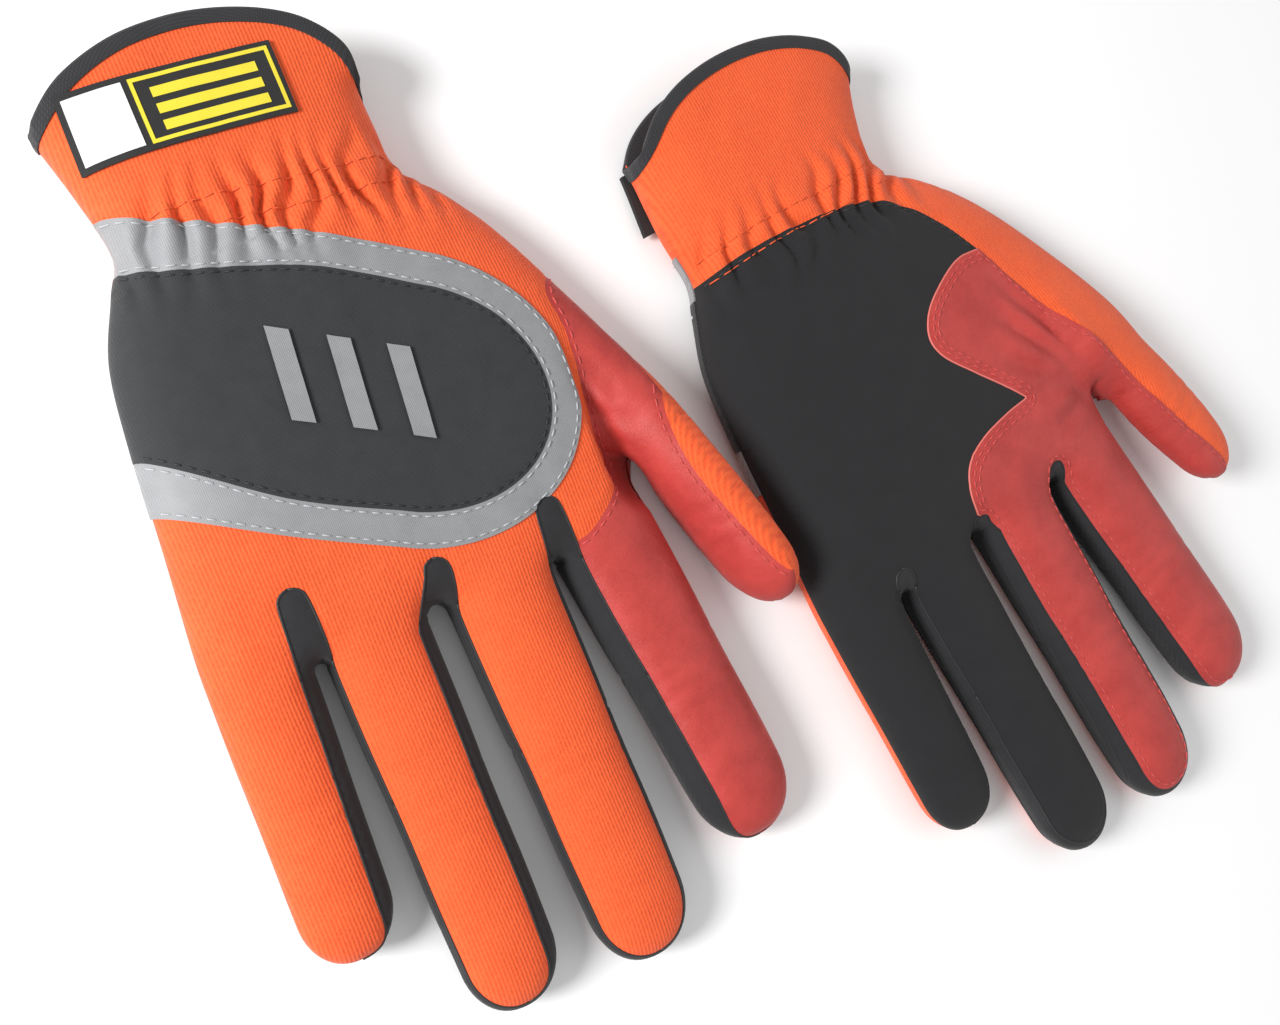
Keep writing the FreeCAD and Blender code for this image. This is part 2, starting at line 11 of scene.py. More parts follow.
import bpy
import numpy as np
from mathutils import Matrix, Vector, noise
from mathutils.bvhtree import BVHTree
from mathutils.geometry import delaunay_2d_cdt


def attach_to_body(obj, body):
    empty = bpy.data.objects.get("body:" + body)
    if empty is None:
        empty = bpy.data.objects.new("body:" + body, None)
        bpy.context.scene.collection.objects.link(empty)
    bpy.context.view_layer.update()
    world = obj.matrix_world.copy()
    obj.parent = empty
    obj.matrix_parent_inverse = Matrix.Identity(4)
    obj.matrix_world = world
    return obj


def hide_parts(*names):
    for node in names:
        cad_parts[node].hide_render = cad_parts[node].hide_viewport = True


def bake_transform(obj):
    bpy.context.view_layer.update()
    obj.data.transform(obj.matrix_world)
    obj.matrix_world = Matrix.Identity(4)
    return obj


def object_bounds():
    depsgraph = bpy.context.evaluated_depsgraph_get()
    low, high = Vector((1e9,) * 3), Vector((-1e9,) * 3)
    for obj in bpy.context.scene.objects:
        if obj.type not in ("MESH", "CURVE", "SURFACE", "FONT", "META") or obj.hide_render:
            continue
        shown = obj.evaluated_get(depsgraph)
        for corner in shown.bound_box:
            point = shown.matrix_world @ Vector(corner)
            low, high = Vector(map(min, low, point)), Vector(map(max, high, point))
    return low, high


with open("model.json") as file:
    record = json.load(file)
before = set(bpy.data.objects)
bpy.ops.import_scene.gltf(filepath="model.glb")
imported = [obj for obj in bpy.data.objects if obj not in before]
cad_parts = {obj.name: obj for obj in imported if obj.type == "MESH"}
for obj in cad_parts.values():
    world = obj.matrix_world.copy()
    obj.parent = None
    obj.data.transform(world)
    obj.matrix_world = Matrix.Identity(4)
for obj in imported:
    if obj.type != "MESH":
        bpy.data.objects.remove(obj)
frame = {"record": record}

MM = 0.001
START_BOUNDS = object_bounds()
JOINTS = {joint["name"]: joint for joint in frame["record"]["behaviour"]["joints"]}
FINGERS = ("index", "middle", "ring", "pinky")
DIGITS = FINGERS + ("thumb",)

# ---------------------------------------------------------------- sizes, in millimetres
CLOTH = 1.3                 # thickness of a panel with its lining
EDGE_STEP = 1.3             # spacing of points along outlines and seams
GRID_STEP = 1.7
WRIST_GRID_STEP = 1.2  # the same where the elastic gathers the cloth
WRIST_GRID_REACH = 13.0
EDGE_ROWS = (0.45, 1.3, 2.5)  # rows of points inside the silhouette, where the cloth turns over
MID_HEIGHT = 8.0            # height of the silhouette above the table
CROWN = 13.0                # rise of the upper surface over the palm
CROWN_REACH = 13.0          # how far from the silhouette the crown levels out
TABLE_GAP = 0.5
UNDER_TRIMS = {"back": 0.9, "palm": 0.45}  # more room for patches, label and stitches, by the lower face
FORK_ALONG = 103.5          # where the fingers part
CUFF_LINE = 8.5             # seam line between cuff and hand pieces, on the fingers' side of the wrist
WRIST_FOLD = 7.5            # half length of the cloth that bends at the wrist
# How the thumbs lie: degrees turned onto the side, and millimetres spread away from the palm
THUMB_TWISTS = {"right": 75.0, "left": 12.0}
THUMB_SPREADS = {"right": 0.0, "left": 6.5}
THUMB_SIDES = {
    "right": ((78.5, 76), (72.3, 60), (64.5, 42), (53, 20), (43.5, 7.5)),
    "left": ((88.0, 76), (81.5, 58), (71.5, 38), (59, 19.5), (46.5, 7.5)),
}
THUMB_LIFT = 5.0
FINGER_TAPER = 0.09         # how much a digit narrows towards its tip, as a share of its width
THUMB_TAPERS = {"right": 0.09, "left": 0.26}
KNUCKLE_LINE = -4.6         # where a digit's own pieces start, along the digit from its first hinge
KNUCKLE_FOLD = (-4.4, 7.0)
JOINT_FOLD = 8.0
WIDTHS = {"index": 29.0, "middle": 28.0, "ring": 26.0, "pinky": 24.0, "thumb": 25.0}
LENGTHS = {"index": 83.0, "middle": 96.0, "ring": 90.0, "pinky": 61.0, "thumb": 51.0}
# Black side walls: how far they show past the silhouette, towards the pinky and towards the thumb
WALLS = {
    "back": {"index": (4.2, 0.0), "middle": (1.1, 1.9), "ring": (1.0, 4.4), "pinky": (0.0, 4.6)},
    "palm": {"index": (2.2, 0.0), "middle": (3.4, 3.4), "ring": (1.4, 1.6), "pinky": (0.0, 1.4)},
}
TIP_WALL = {"back": 1.3, "palm": 2.4}       # the same around the tips of the middle and ring fingers
FORK_TOPS = {
    "back": {"index": (33.6, 89.0), "middle": (2.0, 92.0), "ring": (-31.4, 85.5)},
    "palm": {"index": (33.4, 99.5), "middle": (2.2, 99.0), "ring": (-30.2, 97.0)},
}
NEXT_FINGER = {"index": "middle", "middle": "ring", "ring": "pinky"}  # towards the pinky
# The cuff's rear edge from the thumb side to the pinky side, and its two sides at the wrist
HEMS = {
    "right": ((34.6, -22), (31.8, -32), (20.5, -41), (2, -45.4), (-16, -44.4), (-31, -39), (-41.5, -31.5)),
    "left": ((44.5, -28), (36.5, -38), (20.5, -45.5), (4, -48), (-12, -46.5), (-24, -42), (-33, -34.5)),
}
WRIST_SIDES = {"right": ((-37.6, -15), (34.9, -12)), "left": ((-35.2, -15), (38.6, -14))}
LABEL_MIDDLE = {"right": (-10.0, -26.0), "left": (-8.6, -25.6)}
LABEL_CORNER = {"right": 0.0, "left": 3.6}  # how far the corner at the wrist is pulled out
LABEL_HALF = (25.0, 8.8)
# The knuckle patch and its band: a bullet outline, tilted, open at the pinky edge
PATCH_MIDDLE = (14.0, 55.5)
PATCH_TILT = math.radians(28)
OVAL = {"radius_u": 33.5, "radius_v": 27.5, "edge": 21.0}
BAND = {"radius_u": 41.5, "radius_v": 36.0, "edge": 33.0}
OVAL_LIFT, BAND_LIFT, PATCH_CLOTH = 0.55, 0.45, 0.6
OVERLAY_LIFT = 0.35         # the palm's leather lies on top of the suede
CROTCH = (61.3, 88.6)       # bottom of the slit between the thumb and the index finger
THUMB_FROM_U = 60.6         # the thumb's own pieces start here across the hand
INDEX_TO_U = 70.2           # and the index finger's end here
THIN_THREAD = 0.2
BINDING_ROWS = (0.1, 1.2, 2.3, 3.3)  # the hem tape's rows, inwards from the cuff's rear edge
BINDING_CLOTH = 0.5
STITCH = 2.2
STITCH_GAP = 0.9


# ---------------------------------------------------------------- plan geometry helpers
def smoothstep(x, low, high):
    """0 at low, 1 at high and smooth between."""
    t = np.clip((np.asarray(x, float) - low) / (high - low), 0, 1)
    return t * t * (3 - 2 * t)


def resample(points, step):
    """The polyline again with even spacing, ends kept."""
    points = np.asarray(points, float)
    lengths = np.linalg.norm(np.diff(points, axis=0), axis=1)
    along = np.concatenate([[0], np.cumsum(lengths)])
    count = max(2, int(round(along[-1] / step)) + 1)
    at = np.linspace(0, along[-1], count)
    return np.column_stack([np.interp(at, along, points[:, k]) for k in (0, 1)])


def smooth_curve(controls, step=EDGE_STEP):
    """A curve through control points (Catmull-Rom), evenly sampled."""
    c = np.asarray(controls, float)
    padded = np.vstack([2 * c[0] - c[1], c, 2 * c[-1] - c[-2]])
    t = np.linspace(0, 1, 12, endpoint=False)[:, None]
    parts = []
    for a, b, d, e in zip(padded, padded[1:], padded[2:], padded[3:]):
        parts.append(0.5 * (2 * b + (d - a) * t + (2 * a - 5 * b + 4 * d - e) * t ** 2
                            + (3 * b - a - 3 * d + e) * t ** 3))
    return resample(np.vstack(parts + [c[-1:]]), step)


def inside(polygon, points):
    """Which points lie inside a closed polygon."""
    found = np.zeros(len(points), bool)
    x, y = points[:, 0], points[:, 1]
    for (x0, y0), (x1, y1) in zip(polygon, np.roll(polygon, -1, axis=0)):
        crosses = (y0 > y) != (y1 > y)
        if abs(y1 - y0) > 1e-12:
            found ^= crosses & (x < (x1 - x0) * (y - y0) / (y1 - y0) + x0)
    return found


def distance_to(polyline, points):
    """Distance from each point to a polyline."""
    best = np.full(len(points), 1e9)
    for a, b in zip(polyline, polyline[1:]):
        d = b - a
        t = np.clip((points - a) @ d / max(d @ d, 1e-12), 0, 1)
        best = np.minimum(best, np.linalg.norm(points - a - t[:, None] * d, axis=1))
    return best


# ---------------------------------------------------------------- one glove's plan
class Digit:
    """A finger or thumb in the plan: s runs along it from its first hinge, x across it."""

    def __init__(self, glove, name):
        self.name = name
        self.half = WIDTHS[name] / 2
        self.length = LENGTHS[name]
        self.taper = THUMB_TAPERS[glove.side] if name == "thumb" else FINGER_TAPER
        first = glove.to_plan(JOINTS[f"{glove.side}_{name}_knuckle"]["pos_m"])
        second = glove.to_plan(JOINTS[f"{glove.side}_{name}_joint"]["pos_m"])
        spread = THUMB_SPREADS[glove.side] if name == "thumb" else 0.0
        self.joint = float(np.linalg.norm(second - first))
        self.end_line = self.joint - JOINT_FOLD - 0.5  # where the pieces of the digit's end start
        self.way = (second - first) / self.joint
        self.side = np.array([self.way[1], -self.way[0]])
        self.root = first + spread * self.side

    def at(self, x, s):
        """Plan points from the digit's own coordinates."""
        x, s = np.broadcast_arrays(np.asarray(x, float), np.asarray(s, float))
        return self.root + x[..., None] * self.side + s[..., None] * self.way

    def local(self, points):
        """x and s of plan points."""
        away = points - self.root
        return away @ self.side, away @ self.way

    def half_width(self, s):
        """Half the width at s: a slight waist at the middle joint and, on the thumb, a narrow root."""
        waist = 1 - 0.045 * np.exp(-((s - self.joint) / 16) ** 2)
        if self.name == "thumb":
            waist = waist * (0.86 + 0.14 * smoothstep(s, -8, 20))
        taper = 1 - self.taper * smoothstep(s, 0.4 * self.length, self.length)
        return self.half * waist * taper

    def tip_start(self):
        return self.length - self.half * 1.08

    def edge(self, side, start, inset=0.0, tip_inset=0.0):
        """One edge from s = start to the tip's apex: side is -1 towards the pinky, 1 towards the thumb.

        The inset grows in from the silhouette and narrows to tip_inset around the tip.
        """
        begin, reach = self.tip_start(), self.half * 1.08
        s = np.arange(start, begin, EDGE_STEP)
        x = self.half_width(s) - inset
        turn = np.linspace(0, math.pi / 2, 14)
        fade = np.cos(turn) ** 2
        taper = inset * fade + tip_inset * (1 - fade)
        tip_x = (self.half_width(begin) - taper) * np.cos(turn) ** 0.92
        tip_s = begin + (reach - tip_inset) * np.sin(turn)
        return np.vstack([self.at(side * x, s), self.at(side * tip_x, tip_s)])


class Glove:
    """The plan of one glove and where it lies in the row frame.

    The upper and lower face are the ones that look up and down on the table.
    """

    def __init__(self, side):
        self.side = side
        self.facing = 1 if side == "right" else -1
        self.upper, self.lower = ("back", "palm") if side == "right" else ("palm", "back")
        wrist = JOINTS[f"{side}_wrist_fold"]
        self.origin = np.array(wrist["pos_m"][:2])
        across = np.array(wrist["axis"][:2])
        self.across = across / np.linalg.norm(across)
        self.along = np.array([self.across[1], -self.across[0]])
        self.digits = {name: Digit(self, name) for name in DIGITS}
        self.outline = self.draw_outline()

    def to_plan(self, position):
        away = np.array(position[:2]) - self.origin
        return np.array([away @ self.across, away @ self.along]) / MM

    def to_row(self, points):
        """Row-frame metres from plan u, v and height in millimetres."""
        points = np.asarray(points, float)
        flat = self.origin + (points[:, :1] * self.across + points[:, 1:2] * self.along) * MM
        return np.column_stack([flat, points[:, 2] * MM])

    def hem(self):
        """The cuff's rear edge, from the thumb side to the pinky side."""
        return smooth_curve(HEMS[self.side])

    def fork(self, thumb_side, pinky_side):
        """The round bottom of the slit between two digits."""
        centre, radius = (thumb_side + pinky_side) / 2, np.linalg.norm(thumb_side - pinky_side) / 2
        turn = np.linspace(0, math.pi, 7)[1:-1]
        u_way = (thumb_side - pinky_side) / (2 * radius)
        down = np.array([u_way[1], -u_way[0]])
        return centre - radius * np.cos(turn)[:, None] * u_way + radius * np.sin(turn)[:, None] * down

    def draw_outline(self):
        """The whole silhouette: pinky edge, fingers, thumb, thumb edge; the hem closes it."""
        hem = self.hem()
        pinky, thumb = self.digits["pinky"], self.digits["thumb"]
        starts = {name: FORK_ALONG + 2.0 - self.digits[name].root[1] for name in FINGERS}
        pinky_wrist, thumb_wrist = WRIST_SIDES[self.side]
        pinky_edge = smooth_curve([hem[-1], pinky_wrist, (-35.2, 0), (-39, 9), (-45.5, 24), (-49, 45),
                                   (-51.6, 68), (-54.6, 92), pinky.at(-pinky.half, starts["pinky"])])
        loop = [pinky_edge[:-1]]
        for name, after in zip(("pinky", "ring", "middle", "index"), ("ring", "middle", "index", None)):
            digit = self.digits[name]
            out = digit.edge(-1, starts[name])
            back = digit.edge(1, starts[name] if after else starts[name] - 6)[::-1]
            loop += [out, back[1:]]
            if after:
                loop.append(self.fork(self.digits[after].edge(-1, starts[after])[0], back[-1]))
        crotch = [back[-1], (61.2, 94.5), (60.4, 90.5), CROTCH, (63.0, 90.8)]
        inner = thumb.edge(-1, 6.0)
        loop.append(smooth_curve([*crotch, inner[0]], 0.9)[1:-1])
        outer = thumb.edge(1, 0.0)[::-1]
        loop += [inner, outer[1:]]
        loop.append(smooth_curve([outer[-1], *THUMB_SIDES[self.side], (35.6, -1), thumb_wrist, hem[0]])[1:])
        loop.append(hem[1:-1])
        return np.vstack(loop)

    # Curves on the back and on the palm that bound the panels
    def wall_edges(self, face):
        """For each fork: the two seams of its side wall, both from the fork's top to the tips."""
        edges = {}
        for thumb_side, pinky_side in NEXT_FINGER.items():
            top = np.array(FORK_TOPS[face][thumb_side])
            sides = []
            for name, way, column in ((pinky_side, 1, 1), (thumb_side, -1, 0)):
                digit = self.digits[name]
                tip = TIP_WALL[face] if name in ("middle", "ring") else 0.0
                run = digit.edge(way, FORK_ALONG + 3.0 - digit.root[1], WALLS[face][name][column], tip)
                lead = smooth_curve([top, top + (-2.3 * way, 0.9), top + (-3.5 * way, 4.2), run[0]])
                sides.append(np.vstack([lead[:-1], run]))
            edges[thumb_side] = sides
        return edges

    def wall_polygons(self, face):
        """Closed outlines of the three side walls, running outside the silhouette between the tips."""
        polygons = {}
        for thumb_side, (left, right) in self.wall_edges(face).items():
            a, b = self.digits[NEXT_FINGER[thumb_side]], self.digits[thumb_side]
            outside = np.array([a.at(0, a.length + 4), a.at(a.half + 1.2, a.length + 4),
                                b.at(-b.half - 1.2, b.length + 4), b.at(0, b.length + 4)])
            polygons[thumb_side] = np.vstack([left, outside, right[::-1]])
        return polygons

    def back_edge(self):
        """Where the knit back ends beside the thumb and the index finger."""
        wall = self.wall_edges("back")["index"][1]
        end = wall[np.argmin(np.linalg.norm(wall - (38.0, 102.6), axis=1))]
        return smooth_curve([(66, 33), (57.5, 41), (58.6, 52), (60.2, 66), (60.3, 80), (57.2, 89), (52, 95),
                             (46.5, 99), (41.8, 101.6), end])

    def palm_edge(self):
        """Where the knit cuff ends on the palm, from the pinky edge to the thumb's root."""
        return smooth_curve([(-44, 2.2), (-36, 2), (-22, 1), (-1.2, 2.2), (18.8, 5.6), (30.5, 11.5),
                             (39.8, 22.5), (46.4, 34.9)])

    def strip_edge(self):
        """The seam of the knit strip along the thumb, on the palm, out over the thumb's tip."""
        thumb = self.digits["thumb"]
        return smooth_curve([(46.4, 34.9), (53.2, 52), (60.5, 71), thumb.at(-8.6, 2), thumb.at(-7.0, 16),
                             thumb.at(-5.0, 31), thumb.at(-2.8, 42), thumb.at(-0.8, 52)])

    def strip_back_edge(self):
        """The same strip's other seam, on the back, where it turns over the thumb's outer edge."""
        thumb = self.digits["thumb"]
        return smooth_curve([thumb.at(13.5, -24), thumb.at(10.4, -14), thumb.at(9.0, -4), thumb.at(8.8, 8),
                             thumb.at(9.2, 20), thumb.at(9.7, 30), thumb.at(10.0, 38), thumb.at(10.2, 48)])

    def overlay_edge(self):
        """The leather overlay's edge on the palm, from the thumb's root to the front."""
        lobe = smooth_curve([(46.4, 34.9), (38, 34), (29, 36.5), (19.5, 41.5), (14.6, 48), (15.6, 55),
                             (22, 63.5), (28.5, 71.5), (34.2, 78.8)])
        heel = smooth_curve([(34.2, 78.8), (25, 79), (14, 80.6), (5.6, 84.4), (1.4, 91), (1.2, 98),
                             (2.2, 99.0)])
        return np.vstack([lobe, heel[1:]])


def patch_axes():
    """The directions along and across the tilted knuckle patch."""
    way = np.array([math.cos(PATCH_TILT), math.sin(PATCH_TILT)])
    return way, np.array([-way[1], way[0]])


def patch_outline(radius_u, radius_v, edge):
    """The bullet outline on the back: open at the pinky edge, round towards the thumb."""
    way, side = patch_axes()
    turn = np.linspace(-math.pi / 2, math.pi / 2, 40)
    tip = np.column_stack([radius_u * np.cos(turn), radius_v * np.sin(turn)])
    high = np.array([(-28.0, radius_v * 0.995), (-62.0, edge), (-82.0, edge)])
    low = high * (1, -1)
    bullet = smooth_curve(np.vstack([low[::-1], tip, high]))
    return np.array(PATCH_MIDDLE) + bullet[:, :1] * way + bullet[:, 1:] * side


OVAL_LINE = patch_outline(**OVAL)
BAND_LINE = patch_outline(**BAND)
GLOVES = [Glove("right"), Glove("left")]


# ---------------------------------------------------------------- mesh of the plan
def staggered_grid(low, high, step):
    """Rows of points, each row moved half a step against the one before."""
    rows = []
    for row, v in enumerate(np.arange(low[1], high[1], step * 0.87)):
        u = np.arange(low[0] + (row % 2) * step / 2, high[0], step)
        rows.append(np.column_stack([u, np.full(len(u), v)]))
    return np.vstack(rows)


def triangulate(glove, curves):
    """Points and triangles of the plan, with every curve kept as edges."""
    outline = glove.outline
    loop = np.vstack([outline, outline[:1]])
    points, edges = [], []

    def add_line(line, closed=False):
        first = len(points)
        points.extend(line)
        edges.extend((first + i, first + i + 1) for i in range(len(line) - 1))
        if closed:
            edges.append((first + len(line) - 1, first))

    add_line(outline, closed=True)
    for curve in curves:
        add_line(curve)
    away = np.roll(outline, -1, axis=0) - np.roll(outline, 1, axis=0)
    inward = np.column_stack([away[:, 1], -away[:, 0]]) / np.linalg.norm(away, axis=1)[:, None]
    low, high = outline.min(axis=0), outline.max(axis=0)
    coarse, fine = staggered_grid(low, high, GRID_STEP), staggered_grid(low, high, WRIST_GRID_STEP)
    grid = np.vstack([coarse[np.abs(coarse[:, 1]) > WRIST_GRID_REACH],
                      fine[np.abs(fine[:, 1]) <= WRIST_GRID_REACH]])
    grid = grid[inside(outline, grid)]
    grid = grid[distance_to(loop, grid) > EDGE_ROWS[-1] + 0.8]
    kept = [grid]
    for depth in EDGE_ROWS:
        row = outline + inward * depth
        row = row[inside(outline, row)]
        row = row[distance_to(loop, row) > depth * 0.93]
        kept.append(row)
    loose = np.vstack(kept)
    for curve in curves:
        loose = loose[distance_to(curve, loose) > 0.55]
    points.extend(loose)
    made = delaunay_2d_cdt([Vector(p) for p in points], edges, [], 0, 1e-4)
    flat = np.array([tuple(p) for p in made[0]])
    triangles = np.array([face for face in made[2] if len(face) == 3])
    centres = flat[triangles].mean(axis=1)
    a, b, c = (flat[triangles[:, k]] for k in range(3))
    area = 0.5 * ((b - a)[:, 0] * (c - a)[:, 1] - (b - a)[:, 1] * (c - a)[:, 0])
    keep = inside(outline, centres) & (np.abs(area) > 1e-5)
    triangles, area = triangles[keep], area[keep]
    triangles[area < 0] = triangles[area < 0][:, ::-1]
    used, triangles = np.unique(triangles, return_inverse=True)
    return flat[used], triangles.reshape(-1, 3)


def rim_edges(triangles):
    """The directed edges that only one triangle uses."""
    directed = np.vstack([triangles[:, [0, 1]], triangles[:, [1, 2]], triangles[:, [2, 0]]])
    ordered = np.sort(directed, axis=1)
    _, inverse, counts = np.unique(ordered, axis=0, return_inverse=True, return_counts=True)
    return directed[counts[inverse.ravel()] == 1]


def inflate(glove, flat, triangles):
    """A cushion's relative height over the plan: 0 on the silhouette, 1 where it levels out.

    It is the root of a sheet's sag under pressure on an elastic bed, free at the cuff's opening.
    """
    count = len(flat)
    rim = np.unique(rim_edges(triangles))
    hem = glove.hem()
    at_hem = distance_to(hem, flat[rim]) < 0.05
    corners = np.minimum(np.linalg.norm(flat[rim] - hem[0], axis=1),
                         np.linalg.norm(flat[rim] - hem[-1], axis=1))
    fixed = np.zeros(count, bool)
    fixed[rim[~at_hem | (corners < 0.05)]] = True
    rows, cols, weights = [], [], []
    area = np.zeros(count)
    for k in range(3):
        i, j, o = triangles[:, k], triangles[:, (k + 1) % 3], triangles[:, (k + 2) % 3]
        a, b = flat[i] - flat[o], flat[j] - flat[o]
        cross = np.abs(a[:, 0] * b[:, 1] - a[:, 1] * b[:, 0])
        rows.append(i)
        cols.append(j)
        weights.append(0.5 * (a * b).sum(axis=1) / np.maximum(cross, 1e-9))
        area += np.bincount(i, cross / 6, count)
    i, j, w = np.concatenate(rows), np.concatenate(cols), np.concatenate(weights)
    bed = area / CROWN_REACH ** 2
    diagonal = np.bincount(i, w, count) + np.bincount(j, w, count) + bed

    def apply(x):
        """The stiffness and the bed, with the silhouette held."""
        y = diagonal * x - np.bincount(i, w * x[j], count) - np.bincount(j, w * x[i], count)
        return np.where(fixed, 0, y)

    load = np.where(fixed, 0, bed)
    x, r = np.zeros(count), load.copy()
    z = r / diagonal
    p, rz = z.copy(), r @ z
    for _ in range(600):
        q = apply(p)
        step = rz / (p @ q)
        x += step * p
        r -= step * q
        if np.abs(r).max() < 1e-7:
            break
        z = r / diagonal
        rz, before = r @ z, rz
        p = z + (rz / before) * p
    return np.sqrt(np.clip(x, 0, 1))


# ---------------------------------------------------------------- shaping the two surfaces
def wander(flat, scale, seed):
    """Smooth noise over the plan, about -1 to 1."""
    return np.array([noise.noise(Vector((u / scale, v / scale, seed))) for u, v in flat])


def gathers(glove, flat, face):
    """The shirred cloth over the wrist elastic: ridges along the glove, uneven in width and reach."""
    u, v = flat[:, 0], flat[:, 1]
    drift = wander(flat, 14.0, 3.1 + glove.facing)
    pitch = 6.4 if face == "back" else 7.6
    wave = np.sin(2 * math.pi * (u / pitch + 0.9 * drift + 0.02 * v))
    ridge = (wave - 0.35 * wave ** 2) * (0.8 + 0.6 * wander(flat, 9.0, 8.2))
    middle = 1.5 + 3.0 * drift
    reach = np.where(v < middle, 9.0, 10.0)
    return 1.7 * ridge * np.exp(-((v - middle) / reach) ** 2)


CREASES = {
    # start u, v, end u, v, depth, width: folds pressed into the leather round the thumb's root
    ("right", "back"): ((61, 58, 69, 72, 0.9, 2.2), (60.5, 66, 66, 84, 1.3, 2.0),
                        (62, 72, 74, 79, 0.8, 2.0), (52, 98, 60, 92, 0.5, 2.0),
                        (62, 84, 61, 100, 0.7, 2.4)),
    ("left", "palm"): ((40, 55, 59, 84, 1.2, 2.3), (33, 66, 57, 86, 0.9, 2.4), (47, 50, 60, 80, 1.0, 1.8),
                       (36, 78, 58, 88, 0.9, 2.2), (40, 92, 59, 89, 0.6, 2.4), (53, 60, 61, 84, 1.1, 1.7)),
    ("left", "back"): ((61, 66, 70, 80, 0.8, 2.2),),
    ("right", "palm"): ((40, 60, 59, 84, 1.0, 2.3), (36, 76, 58, 88, 0.8, 2.2)),
}


def pressed_folds(glove, flat, face):
    """Depth of the pressed creases at each plan point."""
    depth = np.zeros(len(flat))
    for u0, v0, u1, v1, deep, wide in CREASES[(glove.side, face)]:
        a, b = np.array([u0, v0], float), np.array([u1, v1], float)
        way = b - a
        t = (flat - a) @ way / (way @ way)
        side = np.abs((flat - a) @ np.array([way[1], -way[0]]) / np.linalg.norm(way))
        ends = smoothstep(t, -0.25, 0.25) * (1 - smoothstep(t, 0.8, 1.15))
        valley = np.exp(-(side / wide) ** 2) - 0.45 * np.exp(-((side - 2.1 * wide) / wide) ** 2)
        depth += deep * ends * valley
    return depth


def finger_creases(glove, flat):
    """Slight cross folds at the middle joint of each finger."""
    depth = np.zeros(len(flat))
    for name in DIGITS:
        digit = glove.digits[name]
        x, s = digit.local(flat)
        belongs = (np.abs(x) < digit.half + 0.6) & (s > 2)
        for offset, deep in ((-4.5, 0.28), (0.5, 0.42), (5.5, 0.25)):
            bow = 0.012 * x ** 2
            depth += belongs * deep * np.exp(-((s - digit.joint - offset - bow) / 1.5) ** 2)
    return depth


def thumb_weight(glove, flat):
    """How far each plan point turns with the thumb, from 0 to 1."""
    thumb = glove.digits["thumb"]
    u, v = flat[:, 0], flat[:, 1]
    x, s = thumb.local(flat)
    _, crotch_s = thumb.local(np.array(CROTCH))
    along = smoothstep(v, 38, 97)
    across = smoothstep(x, -27, -8) * smoothstep(u, 51.5, 61.5)
    beside = (x < -thumb.half_width(s) - 0.35) & (s > crotch_s - 4)
    return along * across * np.where(beside | (u < 60.5), 1 - smoothstep(v, 86, 104), 1.0)


def turn_thumb(glove, points, weight):
    """Rotates the thumb about its own axis, so that its back faces outwards."""
    thumb = glove.digits["thumb"]
    x, s = thumb.local(points[:, :2])
    height = points[:, 2] - MID_HEIGHT
    angle = np.radians(THUMB_TWISTS[glove.side]) * weight * glove.facing
    new_x = x * np.cos(angle) - height * np.sin(angle)
    new_z = x * np.sin(angle) + height * np.cos(angle)
    turned = points.copy()
    turned[:, :2] = thumb.at(new_x, s)
    turned[:, 2] = MID_HEIGHT + new_z + THUMB_LIFT * weight
    return turned


def surface(glove, flat, relative, face, seams):
    """The points of the upper or lower surface, before the thumb is turned."""
    near = np.full(len(flat), 1e9)
    for seam in seams:
        near = np.minimum(near, distance_to(seam, flat))
    rise = CROWN * relative
    soft = smoothstep(relative, 0.05, 0.5)
    detail = gathers(glove, flat, face) * soft
    detail += (0.55 * wander(flat, 23.0, 1.7 + glove.facing) + 0.22 * wander(flat, 8.0, 5.3)) * soft
    detail -= pressed_folds(glove, flat, face) * soft + finger_creases(glove, flat) * soft
    detail -= 0.42 * np.exp(-(near / 0.8) ** 2) * smoothstep(relative, 0.03, 0.25)
    if face == glove.upper:
        height = MID_HEIGHT + rise + detail
    else:
        hand_only = 1 - smoothstep(flat[:, 1], 85, 110) if face == "back" else 1.0
        gap = TABLE_GAP + UNDER_TRIMS[face] * hand_only
        sink = np.sqrt(relative ** 2 / (relative ** 2 + 0.10)) * 1.048
        height = MID_HEIGHT - (MID_HEIGHT - gap) * sink - detail * 0.5
        height = np.maximum(height, gap - 0.2)
    return np.column_stack([flat, height])


def vertex_normals(points, triangles):
    a, b, c = (points[triangles[:, k]] for k in range(3))
    face = np.cross(b - a, c - a)
    normals = np.zeros_like(points)
    for k in range(3):
        for axis in range(3):
            normals[:, axis] += np.bincount(triangles[:, k], face[:, axis], len(points))
    return normals / np.maximum(np.linalg.norm(normals, axis=1), 1e-12)[:, None]


